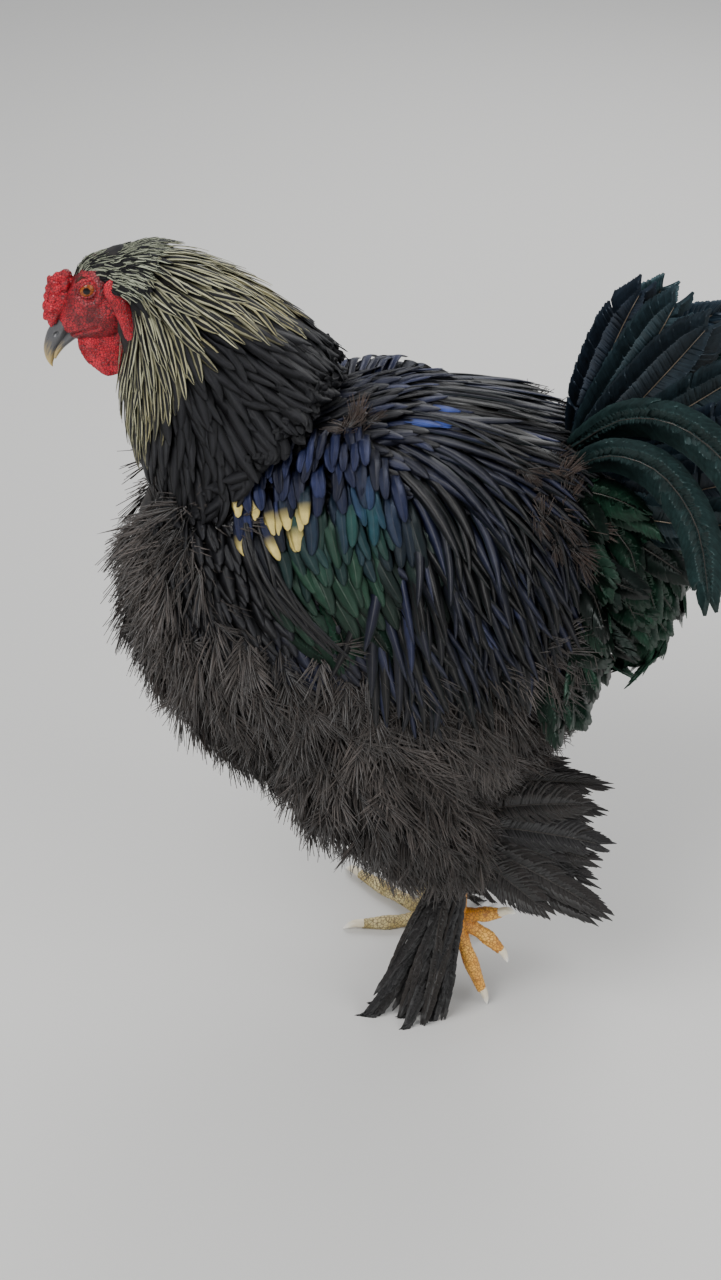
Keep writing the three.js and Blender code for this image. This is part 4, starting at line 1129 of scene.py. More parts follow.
def makeHockFan(name, leg, seed):
    draw = np.random.default_rng(seed)
    t = np.linspace(0, 1, 10)
    count = hockFan["count"]
    middle = (count - 1) / 2
    lines = []
    for i in range(count):
        share = i / (count - 1)
        rise = (hockFan["top"] + (hockFan["low"] - hockFan["top"]) * share + draw.normal(0, 4)) * deg
        arch = 0.84 + 0.16 * math.sin(math.pi * (0.15 + 0.8 * share))
        length = hockFan["length"] * arch * draw.uniform(0.6, 1.0)
        out = (i - middle) * (0.5 + 0.6 * t) + 7 * t + draw.normal(0, 3) * t
        x = leg["hock"][0] + hockFan["root"][0] + np.cos(rise) * length * t
        z = leg["hock"][2] + hockFan["root"][1] - hockFan["stack"] * (i - middle)
        z = z + np.sin(rise) * length * t - hockFan["sag"] * t**2
        lines.append(np.stack([x, leg["hock"][1] - leg["side"] * out, z], -1))
    lines = np.array(lines)
    normals = np.tile(unit(np.array([0, -leg["side"], 0.2])), (count, len(t), 1))
    tone = varied(blendTo(each(brownBlack, count), charcoal, draw.uniform(0, 0.8, count)), 0.2, draw)
    roots = np.stack([0.92 + 0.002 * np.arange(count), 0.3 + leg["side"] * 0.2 + 0.01 * np.arange(count)], -1)
    return vanePiece(name, lines, normals, hockFan["wide"] * draw.uniform(0.75, 1.1, count), hockFan["vane"],
                     roots, tone, draw)


for seed, (name, leg) in enumerate(legs.items()):
    form = thighForm(leg)
    draw = np.random.default_rng(120 + seed)
    u, v = rootRows(form, thighDown["area"], draw)
    roots = rootMap("thigh", u, v)
    tone = downTone(form.at(u, v), draw)
    piece = makeDown(f"thigh_{name}_down", form, u, v, thighFlow, roots, draw, thighDown, tone)
    finishPiece(piece, downFinish, [f"thigh_{name}"])
    finishPiece(makeHockFan(f"hock_{name}_feathers", leg, 130 + seed), softFinish)
print("stage: thighs")


# Shanks, toes and claws: scaly skin with raised plates along the front and top, and horn claws

scale = {
    "pitch": 4.2, "raise": 0.55, "pebble": 0.15,
    "shank": 6.6, "shankTaper": [1, 0.95, 0.95, 1.1], "shankMesh": (90, 28),
    "toe": 5.4, "toeTaper": [1, 1.02, 0.84, 0.98, 0.76, 0.6], "toeMesh": (64, 24), "ball": 8.2,
}


# A tube over a smooth curve. profile(t, angle) gives its radius, and angle 0 is on the upper side.
def tubeMesh(points, profile, rings, sides, upper=(0, 0, 1)):
    place = np.array(points, float)
    if len(place) == 2:
        place = np.array([place[0], (place[0] + place[1]) / 2, place[1]])
    t = np.linspace(0, 1, rings)
    line = along(place, t)
    run = unit(np.gradient(line, axis=0))
    up = unit(np.array(upper, float) - run * dot(run, np.array(upper, float)))
    side = np.cross(run, up)
    angle = angles(sides)
    away = up[:, None] * np.cos(angle)[None, :, None] + side[:, None] * np.sin(angle)[None, :, None]
    verts = line[:, None] + away * profile(t[:, None], angle[None, :])[..., None]
    return verts.reshape(-1, 3), ringFaces(rings, sides), gridMap(angle, t)


def gridMap(angle, t):
    return np.stack(np.broadcast_arrays(angle[None, :] / fullTurn, t[:, None]), -1).reshape(-1, 2)


def ringFaces(rings, sides):
    index = np.arange(rings * sides).reshape(rings, sides)
    a, b = index[:-1], index[1:]
    faces = np.stack([a, np.roll(a, -1, 1), np.roll(b, -1, 1), b], -1).reshape(-1, 4).tolist()
    return faces + [index[0][::-1].tolist(), index[-1].tolist()]


def turned(faces):
    return [face[::-1] for face in faces]


# A ball of rings; gap keeps the rings off its poles, and rough gives it low bumps
def ballMesh(centre, radius, rings=9, sides=12, gap=0.06, rough=0.0):
    t = np.linspace(gap, 1 - gap, rings)
    angle = angles(sides)
    out, rise = np.sin(t * math.pi)[:, None], np.cos(t * math.pi)[:, None]
    verts = np.stack(np.broadcast_arrays(out * np.cos(angle), out * np.sin(angle), rise), -1) * radius
    bumps = 1 + rough * np.sin(angle * 11)[None, :, None] * np.sin(t * 40)[:, None, None]
    return (verts * bumps + centre).reshape(-1, 3), turned(ringFaces(rings, sides)), gridMap(angle, t)


def joined(name, parts):
    verts, faces, maps, base = [], [], [], 0
    for points, polygons, uv in parts:
        verts.append(points)
        faces += [[i + base for i in polygon] for polygon in polygons]
        maps.append(uv)
        base += len(points)
    obj = newObject(name, np.concatenate(verts), faces)
    cornerMap(obj.data, "feather", np.concatenate(maps))
    return obj


# Rows of plates across the front of the leg or the top of a toe: each swells and then drops at its end.
def plated(radii, length):
    def profile(t, angle):
        phase = (t * length / scale["pitch"]) % 1
        plate = np.sqrt(np.clip(1 - (2 * phase - 1) ** 2 * 0.9, 0, 1)) * (0.7 + 0.3 * phase)
        front = step(-0.3, 0.5, np.cos(angle))
        pebble = scale["pebble"] * np.sin(angle * 9 + t * length * 1.3) * (1 - front)
        return along(radii, t) + scale["raise"] * (plate - 0.6) * (0.25 + 0.75 * front) + pebble
    return profile


def cleared(verts):
    verts[:, 2] = np.maximum(verts[:, 2], 0.0)
    return verts


def makeLeg(name, leg):
    planted = name == "right"
    hock, ankle = np.array(leg["hock"], float), np.array(leg["ankle"], float)
    above = hock + (hock - ankle) * 0.2
    radii = scale["shank"] * np.array(scale["shankTaper"])
    front = (-1, 0, 0.1) if planted else (-0.8, 0, 0.5)
    profile = plated(radii, np.linalg.norm(above - ankle))
    verts, faces, uv = tubeMesh([above, hock, (hock + ankle) / 2, ankle], profile, *scale["shankMesh"], front)
    shank = joined(f"shank_{name}_skin", [(cleared(verts), faces, uv)])
    radii = scale["toe"] * np.array(scale["toeTaper"])
    upper = (0, 0, 1) if planted else (0.9, 0.1, 0.4)
    toes = []
    for points in leg["toes"]:
        points = np.array(points, float)
        length = np.linalg.norm(np.diff(points, axis=0), axis=1).sum()
        verts, faces, uv = tubeMesh(points, plated(radii, length), *scale["toeMesh"], upper)
        toes.append((cleared(verts), faces, uv))
    ball = ankle * 0.05 + np.array(leg["toes"][1][0], float) * 0.95
    verts, faces, uv = ballMesh(ball, scale["ball"], 18, 28, 0.02, 0.03)
    toes.append((cleared(verts), faces, uv))
    return shank, joined(f"foot_{name}_skin", toes)


def scalyFinish(name, look):
    made, tree, shader = newMaterial(name)
    coords = objectPlace(tree)
    cells = nodeIn(tree, "ShaderNodeTexVoronoi", feature="DISTANCE_TO_EDGE")
    cells.inputs["Scale"].default_value = look["cells"]
    tree.links.new(coords, cells.inputs["Vector"])
    cloud = noiseIn(tree, coords, look["cloud"], 5)
    crack = ramp(tree, cells.outputs["Distance"], 0.0, 0.16)
    colour = mixColour(tree, ramp(tree, cloud, 0.32, 0.68), look["deep"], look["light"])
    colour = mixColour(tree, crack, look["crease"], colour)
    tree.links.new(colour, shader.inputs["Base Color"])
    roughness = ramp(tree, cloud, 0.3, 0.7, look["rough"] - 0.08, look["rough"] + 0.1)
    tree.links.new(roughness, shader.inputs["Roughness"])
    bumpTo(tree, shader, mathNode(tree, "MULTIPLY_ADD", cloud, 0.6, crack), look["bump"], 0.0006)
    setShader(shader, look["shader"])
    return made


legFinish = scalyFinish("legSkin", {
    "cells": 420, "cloud": 60, "deep": srgb(206, 138, 40), "light": srgb(240, 186, 84),
    "crease": srgb(150, 96, 36), "rough": 0.5, "bump": 0.35,
    "shader": {"Subsurface Weight": 0.12, "Subsurface Scale": 0.003},
})
farLegFinish = scalyFinish("paleLegSkin", {
    "cells": 420, "cloud": 60, "deep": srgb(168, 148, 92), "light": srgb(216, 200, 150),
    "crease": srgb(112, 96, 66), "rough": 0.55, "bump": 0.35,
    "shader": {"Subsurface Weight": 0.1, "Subsurface Scale": 0.003},
})


def hornFinish(name, root, tip, rough):
    made, tree, shader = newMaterial(name)
    grain = noiseIn(tree, featherMap(tree, (6.0, 1.0, 1.0)), 5, 6)
    share = mathNode(tree, "MULTIPLY_ADD", mathNode(tree, "SUBTRACT", grain, 0.5), 0.5, splitMap(tree)[1])
    tree.links.new(mixColour(tree, ramp(tree, share, 0.45, 0.95), root, tip), shader.inputs["Base Color"])
    tree.links.new(ramp(tree, grain, 0.3, 0.7, rough - 0.06, rough + 0.1), shader.inputs["Roughness"])
    bumpTo(tree, shader, grain, 0.25, 0.0003)
    setShader(shader, {"Coat Weight": 0.2, "Coat Roughness": 0.25})
    return made


clawFinish = hornFinish("clawHorn", srgb(222, 210, 184), srgb(246, 243, 234), 0.35)
beakFinish = hornFinish("beakHorn", srgb(74, 74, 76), srgb(186, 160, 98), 0.32)
for name, leg in legs.items():
    shank, foot = makeLeg(name, leg)
    finish = legFinish if name == "left" else farLegFinish
    finishPiece(shank, finish, [f"shank_{name}"])
    finishPiece(foot, finish, [f"foot_{name}"])


# Claws: each a curved cone from its toe's end to its tip, flatter below
clawCurve = {"radii": [3.5, 3.15, 2.3, 0.5], "hump": 1.8, "sunk": 1.2, "flat": 0.18, "mesh": (26, 16)}
clawTips = {
    "left": [(72, midline - 45, 85), (30, midline - 47, 24), (54, midline - 42, 0.6), (67, midline - 40, 38)],
    "right": [(41, -14, 0.5), (-60, -19, 0.5), (-71, 53, 0.5), (-22, 68, 0.5)],
}


def clawProfile(t, angle):
    return along(clawCurve["radii"], t) * (1 - clawCurve["flat"] * step(0.2, 0.9, -np.cos(angle)))


for name, leg in legs.items():
    for i, points in enumerate(leg["toes"]):
        root, tip = np.array(points[-1], float), np.array(clawTips[name][i], float)
        run = unit(root - np.array(points[-2], float))
        start = root - run * clawCurve["sunk"]
        middle = (start + tip) / 2 + np.array([0, 0, clawCurve["hump"]])
        verts, faces, uv = tubeMesh([start, middle, tip], clawProfile, *clawCurve["mesh"])
        claw = joined(f"claw_{name}_{i + 1}_horn", [(cleared(verts), faces, uv)])
        finishPiece(claw, clawFinish, [f"claw_{name}_{i + 1}"])
print("stage: legs")


# Foot feathers: brown-black streaky feathers down the outer side of each shank and over the outer toes

footFeathers = {
    "count": 36, "wide": 9.5, "steps": 7,
    "vane": dict(vaneLook, pairs=24, ahead=0.2, splits=2, gape=0.05, fray=0.5, barbSteps=2, camber=0.25,
                 barbWide=1.3, tilt=8, edgeLight=1.5, barbShape=[0.9, 0.9, 0.12],
                 outline=[0.6, 0.9, 1.0, 1.0, 0.9, 0.7, 0.3]),
}


def makeFootFeathers(name, leg, seed):
    draw = np.random.default_rng(seed)
    hock, ankle = np.array(leg["hock"], float), np.array(leg["ankle"], float)
    side = leg["side"]
    t = np.linspace(0, 1, footFeathers["steps"] + 1)
    lines, normals, roots = [], [], []
    for i in range(footFeathers["count"]):
        plume = leg["plumes"][i % len(leg["plumes"])]
        height = draw.uniform(0.0, 0.95)
        off = np.array([draw.uniform(-3, 5), -side * draw.uniform(1, 5), 0])
        root = ankle + (hock - ankle) * height + off
        reach = 1 - 0.55 * height * draw.uniform(0.5, 1)
        end = np.array([ankle[0] + plume[0], ankle[1] + side * plume[1], 1.0])
        end = root + (end - root) * reach + draw.normal(0, 4, 3)
        end[2] = max(end[2], 1.2)
        middle = (root + end) / 2 + np.array([draw.normal(0, 3), -side * draw.uniform(4, 11), 3])
        first, second, third = (1 - t)[:, None] ** 2, 2 * (t * (1 - t))[:, None], (t**2)[:, None]
        lines.append(first * root + second * middle + third * end)
        normals.append(np.tile(unit(np.array([draw.normal(0, 0.5), -side, 0.2])), (len(t), 1)))
        roots.append((0.96 + 0.0008 * i, 0.3 + 0.2 * side + 0.006 * i))
    count = len(lines)
    tint = varied(blendTo(each(black, count), brownBlack, draw.uniform(0.1, 1, count)), 0.25, draw)
    wide = footFeathers["wide"] * draw.uniform(0.7, 1.2, count)
    obj = vanePiece(name, np.array(lines), np.array(normals), wide, footFeathers["vane"], np.array(roots),
                    tint, draw, tint * 1.6)
    lift = np.empty(len(obj.data.vertices) * 3, np.float32)
    obj.data.vertices.foreach_get("co", lift)
    lift[2::3] = np.maximum(lift[2::3], 0.0002)
    obj.data.vertices.foreach_set("co", lift)
    return obj


for seed, (name, leg) in enumerate(legs.items()):
    finishPiece(makeFootFeathers(f"foot_{name}_feathers", leg, 140 + seed), softFinish)
print("stage: foot feathers")


# Head: points are given forward along the beak, up, and out to the bird's left

skull = {"x": -203, "z": 503, "pitch": 45, "yaw": 7}
headTurn = Matrix.Rotation(skull["yaw"] * deg, 3, "Z") @ Matrix.Rotation(-skull["pitch"] * deg, 3, "Y")
headTurn = np.array(headTurn)


def headPoint(forward, up, left):
    forward, up, left = np.broadcast_arrays(np.asarray(forward, float), up, left)
    return np.stack([-forward, -left, up], -1) @ headTurn.T + np.array([skull["x"], midline, skull["z"]])


# How far a squarish round section reaches at each angle
def rounded(angle, fullness):
    return (np.abs(np.cos(angle)) ** fullness + np.abs(np.sin(angle)) ** fullness) ** (-1 / fullness)


def headLoft(sections, rings, sides, fullness=2.2, shaped=None):
    table = np.array(sections, float)
    u = np.linspace(0, 1, rings)
    f, top, bottom, wide = along(table, u).T
    angle = angles(sides)
    reach = rounded(angle, fullness)
    up = ((top + bottom) / 2)[:, None] + ((top - bottom) / 2)[:, None] * np.cos(angle) * reach
    left = wide[:, None] * np.sin(angle) * reach
    forward = np.broadcast_to(f[:, None], up.shape)
    if shaped:
        forward, up, left = shaped(forward, up, left)
    return headPoint(forward, up, left).reshape(-1, 3), ringFaces(rings, sides), gridMap(angle, u)


def noiseAt(points, size, seed=0.0):
    return np.array([noise.noise(Vector(p) / size + Vector((seed, seed, seed))) for p in points])


head = {
    "sections": [(-27, 6, -8, 6), (-22, 16, -16, 13), (-14, 22, -22, 17), (-4, 24, -24, 18.6),
                 (8, 22.5, -24.5, 18.8), (20, 18.5, -20.5, 16.2), (28, 14.5, -15, 12.6),
                 (34, 11.8, -10.5, 9.4), (36.5, 9.5, -8, 7)],
    "eye": (2, 13.5),
    "socket": {"from": 4.2, "to": 6.6, "deep": 5.5},
    "brow": {"out": 1.7, "ring": 9.0, "wide": 2.2},
    "cheek": {"out": 1.6, "at": (10, -8), "wide": 110},
    "mouth": {"from": (34, -1.5), "to": (13, -8.0), "deep": 1.5, "line": 0.9},
    "lips": {"upper": 0.7, "lower": 0.6, "off": 2.4, "wide": 1.4},
    "pimples": 0.45, "folds": 0.5, "mesh": (110, 128),
}


# A smooth bump of the given width round 0
def swell(away, wide):
    return np.exp(-(away / wide) ** 2)


def faceShape(forward, up, left):
    away = np.hypot(forward - head["eye"][0], up - head["eye"][1])
    socket, cheek, mouth, lips = head["socket"], head["cheek"], head["mouth"], head["lips"]
    out = head["brow"]["out"] * swell(away - head["brow"]["ring"], head["brow"]["wide"])
    out = out - socket["deep"] * (1 - step(socket["from"], socket["to"], away))
    near = (forward - cheek["at"][0]) ** 2 + (up - cheek["at"][1]) ** 2
    out = out + cheek["out"] * np.exp(-near / cheek["wide"])
    (f0, u0), (f1, u1) = mouth["to"], mouth["from"]
    above = up - u0 - (u1 - u0) * np.clip((forward - f0) / (f1 - f0), -0.2, 1.2)
    out = out - mouth["deep"] * swell(above, mouth["line"]) * step(f0 - 3, f0 + 3, forward)
    lip = lips["upper"] * swell(above - lips["off"], lips["wide"])
    lip = lip + lips["lower"] * swell(above + lips["off"], lips["wide"])
    out = out + lip * step(f0, f0 + 4, forward)
    return forward, up, left + np.sign(left) * out * step(3, 8, np.abs(left))


def makeFace():
    verts, faces, uv = headLoft(head["sections"], *head["mesh"], shaped=faceShape)
    normals = unit(verts - headPoint(4, 0, 0))
    pimple = np.abs(noiseAt(verts, 2.1)) + 0.5 * np.abs(noiseAt(verts, 1.1, 7.0))
    fold = noiseAt(verts, 6.5, 3.0)
    verts = verts + normals * (head["pimples"] * (1.2 * (0.45 - pimple)) + head["folds"] * fold)[:, None]
    return verts, faces, uv


# The lids: a soft rim round each eye, drawn a little longer than high.
lidRim = {"long": 6.6, "tall": 5.4, "thick": 1.15, "out": 16.6, "steps": 64, "sides": 12}


def makeLid(side, size, thick, out, seed):
    eyeF, eyeUp = head["eye"]
    steps, sides = lidRim["steps"], lidRim["sides"]
    angle, ring = angles(steps), angles(sides)
    f = eyeF + lidRim["long"] * np.cos(angle) * size
    up = eyeUp + lidRim["tall"] * np.sin(angle) * size + 0.5 * np.cos(angle)
    left = side * (out - 0.05 * (lidRim["long"] * np.cos(angle)) ** 2 * 0.6)
    centre = headPoint(f, up, left)
    middle = headPoint(eyeF, eyeUp, side * out)
    outward = unit(headPoint(eyeF, eyeUp, side * (out + 10)) - middle)
    away = unit(centre - middle)
    radius = thick * (1 + 0.12 * np.sin(angle * 13 + seed))[:, None, None]
    roundRim = away[:, None] * np.cos(ring)[None, :, None] + outward * np.sin(ring)[None, :, None]
    verts = centre[:, None] + roundRim * radius
    a = np.arange(steps * sides).reshape(steps, sides)
    b = np.roll(a, -1, 0)
    faces = np.stack([a, np.roll(a, -1, 1), np.roll(b, -1, 1), b], -1).reshape(-1, 4).tolist()
    return verts.reshape(-1, 3), turned(faces) if side < 0 else faces, np.zeros((steps * sides, 2))


faceParts = [makeFace()]
for side in (1, -1):
    faceParts.append(makeLid(side, 0.86, lidRim["thick"], lidRim["out"], 0.0))
    faceParts.append(makeLid(side, 1.16, lidRim["thick"] * 1.1, lidRim["out"] - 1.1, 2.0))
facePiece = joined("face_skin", faceParts)
faceFinish = scalyFinish("faceSkin", {
    "cells": 520, "cloud": 90, "deep": srgb(104, 8, 18), "light": srgb(168, 26, 40),
    "crease": srgb(54, 4, 10), "rough": 0.48, "bump": 0.5,
    "shader": {"Subsurface Weight": 0.25, "Subsurface Scale": 0.004, "Subsurface Radius": (1.0, 0.25, 0.2)},
})
combFinish = scalyFinish("combSkin", {
    "cells": 620, "cloud": 80, "deep": srgb(140, 4, 20), "light": srgb(206, 26, 48),
    "crease": srgb(76, 2, 10), "rough": 0.42, "bump": 0.6,
    "shader": {"Subsurface Weight": 0.3, "Subsurface Scale": 0.004, "Subsurface Radius": (1.0, 0.25, 0.2)},
})
finishPiece(facePiece, faceFinish, ["head"])
print("stage: face")


# Beak: the upper part hooks over the lower one, with a nostril on each side

beak = {
    "upper": [(32, 11.5, 1.5, 8.4), (36, 11.3, 0.2, 8), (42, 10.5, -1.9, 7.2), (48, 9, -3, 6.2),
              (54, 6, -4.8, 4.8), (59, 2.3, -6.8, 3.3), (62.5, -2.2, -8.6, 2.0), (64.2, -6.5, -10.2, 0.8)],
    "lower": [(28, 2.2, -7.4, 7.2), (34, 1.8, -7.3, 6.8), (41, 0.9, -6.6, 5.9), (48, 0.0, -6.2, 4.7),
              (54, -1.6, -6.8, 3.3), (58.5, -4.2, -7.8, 1.4)],
    "nostril": {"at": (42.5, 5.0), "deep": 2.6, "rim": 0.8},
    "upperMesh": (70, 72), "lowerMesh": (40, 48),
}


def beakShape(forward, up, left):
    f, u = beak["nostril"]["at"]
    dip = np.exp(-(((forward - f) / 2.6) ** 2 + ((up - u) / 1.25) ** 2))
    rim = np.exp(-(((forward - f + 0.4) / 3.8) ** 2 + ((up - u - 0.6) / 2.3) ** 2))
    out = (beak["nostril"]["rim"] * rim - beak["nostril"]["deep"] * dip) * step(2, 4, np.abs(left))
    return forward, up, left + np.sign(left) * out


upperBeak = joined("beak_upper_horn", [headLoft(beak["upper"], *beak["upperMesh"], 2, beakShape)])
lowerBeak = joined("beak_lower_horn", [headLoft(beak["lower"], *beak["lowerMesh"], 2)])
finishPiece(upperBeak, beakFinish, ["beak_upper"])
finishPiece(lowerBeak, beakFinish, ["beak_lower"])


# Comb: three low ridges of rounded points, fused to one pebbly mass

comb = {
    "base": [(9, 24, 17, 3), (20, 25, 12, 7), (33, 20, 9, 7), (43, 13, 7, 3.4)],
    "ridge": [24, 27, 24.5, 20, 13.5],
    "middle": {"points": 7, "radius": 3.9, "up": 2.2, "inset": 0.0},
    "sides": {"points": 5, "radius": 3.5, "up": -2.2, "inset": 0.55},
    "apart": 5.0, "from": 11, "length": 28, "grains": 3, "voxel": 0.75,
}


def fused(obj, voxel, smooth):
    remesh = obj.modifiers.new("fuse", "REMESH")
    remesh.mode = "VOXEL"
    remesh.voxel_size = voxel * metre
    remesh.use_smooth_shade = True
    soft = obj.modifiers.new("soft", "SMOOTH")
    soft.iterations = smooth
    soft.factor = 0.5
    depsgraph = bpy.context.evaluated_depsgraph_get()
    made = bpy.data.meshes.new_from_object(obj.evaluated_get(depsgraph))
    obj.modifiers.clear()
    obj.data = made
    made.name = obj.name
    return obj


def makeComb():
    draw = np.random.default_rng(61)
    parts = [headLoft(comb["base"], 24, 24, 2.2)]
    for row in (-1, 0, 1):
        look = comb["sides" if row else "middle"]
        for i in range(look["points"]):
            share = (i + look["inset"]) / (look["points"] - 1 + (0.9 if row else 0))
            top = float(along(comb["ridge"], np.array(share))) + look["up"]
            centre = headPoint(comb["from"] + share * comb["length"], top,
                               row * comb["apart"] + draw.normal(0, 0.4))
            parts.append(ballMesh(centre, look["radius"] * draw.uniform(0.85, 1.1)))
            for _ in range(comb["grains"]):
                parts.append(ballMesh(centre + draw.uniform(-2.6, 2.6, 3), draw.uniform(1.2, 1.9)))
    obj = fused(joined("comb_skin", parts), comb["voxel"], 2)
    return roughen(obj, 0.45, 1.5)


def roughen(obj, amount, size):
    mesh = obj.data
    co = np.empty(len(mesh.vertices) * 3, np.float32)
    normal = np.empty(len(mesh.vertices) * 3, np.float32)
    mesh.vertices.foreach_get("co", co)
    mesh.vertex_normals.foreach_get("vector", normal)
    co, normal = co.reshape(-1, 3) / metre, normal.reshape(-1, 3)
    bump = 0.5 - np.abs(noiseAt(co, size)) * 1.6 + 0.4 * noiseAt(co, size * 3, 5.0)
    co = (co + normal * (amount * bump)[:, None]) * metre
    mesh.vertices.foreach_set("co", co.astype(np.float32).ravel())
    mesh.update()
    return obj


finishPiece(makeComb(), combFinish, ["comb"])


# Lobes: soft hanging folds of bare skin, each over an outline (forward, up)

lobeMesh = {"round": 64, "rings": 16}
lobes = {
    "wattle": {
        "outline": [(34, -6), (40, -14), (42, -24), (40, -34), (33, -40), (24, -38), (13, -33), (4, -26),
                    (7, -14), (22, -6)],
        "left": 8.5, "thick": 5.5, "splay": 0.12, "fold": 0.9,
    },
    "earlobe": {
        "outline": [(-18, 8), (-12, 10), (-7, 6), (-3, -5), (2, -16), (6, -25), (5, -31), (0, -33), (-6, -26),
                    (-11, -14), (-16, -3)],
        "left": 23.0, "thick": 7.0, "splay": 0.05, "fold": 0.9,
    },
}


def makeLobe(kind, side):
    look = lobes[kind]
    outline = np.array(look["outline"] + look["outline"][:1], float)
    count, rings = lobeMesh["round"], lobeMesh["rings"]
    closed = np.concatenate([outline[-2:-1], outline, outline[1:2]])
    place = (1 + np.arange(count) / count * (len(outline) - 1)) / (len(closed) - 1)
    rim = along(closed, place)
    centre = rim.mean(0)
    share = np.sin(np.linspace(0.04, 1, rings) * math.pi / 2)
    layers = np.concatenate([share, share[::-1][1:]])
    face = np.concatenate([np.ones(rings), -np.ones(rings - 1)])
    flat = centre + (rim - centre)[None] * layers[:, None, None]
    bulge = face * np.sqrt(np.clip(1 - layers**2.6, 0, 1)) * look["thick"] / 2
    wave = look["fold"] * np.sin(flat[..., 0] * 0.55 + flat[..., 1] * 0.22 + 0.8) * layers[:, None]
    left = side * (look["left"] + bulge[:, None] + wave + look["splay"] * (centre[1] - flat[..., 1]))
    verts = headPoint(flat[..., 0], flat[..., 1], left).reshape(-1, 3)
    faces = ringFaces(len(layers), count)
    name = f"{kind}_{'left' if side > 0 else 'right'}"
    obj = joined(name + "_skin", [(verts, turned(faces) if side > 0 else faces, np.zeros((len(verts), 2)))])
    return finishPiece(roughen(obj, 0.5, 2.2), combFinish, [name])


for kind in lobes:
    for side in (1, -1):
        makeLobe(kind, side)
print("stage: comb and lobes")


# Eyes: an orange iris round a dark pupil, under a clear wet surface

eye = {
    "radius": 8.2, "out": 9.4, "mesh": (40, 64), "opening": 1.3, "cornea": 0.05,
    "pupil": 0.14, "iris": 0.4, "soft": 0.02,
    "irisDeep": srgb(96, 42, 12), "irisLight": srgb(158, 84, 30), "rim": srgb(58, 26, 14),
    "hole": (0.002, 0.002, 0.002),
}


def makeEyeFinish():
    made, tree, shader = newMaterial("eyeGloss")
    outward = splitMap(tree)[1]
    rays = noiseIn(tree, featherMap(tree, (34.0, 3.0, 1.0)), 1.0, 4)
    iris = mixColour(tree, ramp(tree, rays, 0.35, 0.65), eye["irisDeep"], eye["irisLight"])
    iris = mixColour(tree, ramp(tree, outward, eye["iris"] * 0.72, eye["iris"]), iris, eye["rim"])
    opened = ramp(tree, outward, eye["pupil"] - eye["soft"], eye["pupil"] + eye["soft"])
    tree.links.new(mixColour(tree, opened, eye["hole"], iris), shader.inputs["Base Color"])
    setShader(shader, {"Roughness": 0.25, "Specular IOR Level": 0.25, "Coat Weight": 0.2,
                       "Coat Roughness": 0.03})
    return made


def makeEye(name, side):
    rings, sides = eye["mesh"]
    t = np.linspace(0.01, 1, rings)
    angle = angles(sides)
    opening = t * math.pi / 2 * eye["opening"]
    out = np.cos(opening) * eye["radius"] * (1 + eye["cornea"] * swell(t, 0.35))
    around = np.sin(opening) * eye["radius"]
    eyeF, eyeUp = head["eye"]
    verts = headPoint(eyeF + around[:, None] * np.cos(angle), eyeUp + around[:, None] * np.sin(angle),
                      side * (eye["out"] + out[:, None] + 0 * angle)).reshape(-1, 3)
    faces = ringFaces(rings, sides)
    ball = joined(f"{name}_ball", [(verts, turned(faces) if side < 0 else faces, gridMap(angle, t))])
    return finishPiece(ball, eyeFinish, [name])


eyeFinish = makeEyeFinish()
makeEye("eye_left", 1)
makeEye("eye_right", -1)
print("stage: eyes")


# Crown and face edge: the smallest feathers, from the comb back to the hackle, and a dark tuft over each ear

crown = {
    "count": 1150, "from": 10, "back": 32, "length": (8, 24), "wide": (2.3, 3.7),
    "shape": [0.5, 0.9, 1.0, 1.0, 0.9], "steps": 7, "dark": 0.3, "silver": srgb(176, 196, 184),
}


# The crown's surface: the skull in front, passing into the neck behind it
def crownPoint(forward, angle, lift):
    table = np.array(head["sections"], float)
    at = np.interp(np.maximum(forward, -16), table[:, 0], np.linspace(0, 1, len(table)))
    top, bottom, wide = np.moveaxis(along(table, at), -1, 0)[1:]
    reach = rounded(angle, 2.2)
    up = (top + bottom) / 2 + ((top - bottom) / 2 + lift) * np.cos(angle) * reach
    skullPoint = headPoint(np.maximum(forward, -16), up, (wide + lift) * np.sin(angle) * reach)
    neckPoint = neckForm.at(np.clip((-14 - forward) / 110, -0.05, 1), angle, lift)
    share = step(6, 20, -forward)[..., None]
    return skullPoint * (1 - share) + neckPoint * share, up


def makeCrown():
    draw = np.random.default_rng(71)
    forward = draw.uniform(crown["from"] - crown["back"], crown["from"], crown["count"] * 3)
    angle = draw.uniform(-90, 90, len(forward)) * deg
    up = crownPoint(forward, angle, 0.0)[1]
    border = np.maximum(21.4 - np.maximum(3 - forward, -1) * 0.55, 14.5)
    kept = up > border + draw.normal(0, 0.6, len(forward))
    forward, angle = forward[kept][:crown["count"]], angle[kept][:crown["count"]]
    count = len(forward)
    share = (crown["from"] - forward) / crown["back"]
    t = np.linspace(0, 1, crown["steps"] + 1)
    length = spread(crown["length"], share) * draw.uniform(0.8, 1.2, count)
    flow = forward[:, None] - length[:, None] * t
    spin = angle[:, None] * (1 + (0.006 * length * draw.uniform(0.5, 1.5, count))[:, None] * t)
    lift = -0.8 + (2.2 + draw.normal(0, 0.5, (count, 1))) * t
    lines = crownPoint(flow, spin, lift)[0]
    normals = unit(lines - crownPoint(flow, spin, lift - 3)[0])
    dark = draw.random(count) < crown["dark"]
    tint = varied(each(black, count), 0.3, draw)
    pale = varied(each(blendTo(cream, crown["silver"], 0.4), count), 0.2, draw)
    edge = np.where(dark[:, None], charcoal, pale)
    roots = rootMap("crown", share, angle)
    wide = spread(crown["wide"], share) * draw.uniform(0.8, 1.2, count)
    return blades("crown_feathers", lines, normals, wide, crown["shape"], roots, tint, edge, columns=3,
                  camber=0.3, thick=0.25, twist=draw.normal(0, 10, count), blunt=0.5)


finishPiece(makeCrown(), hackleFinish)


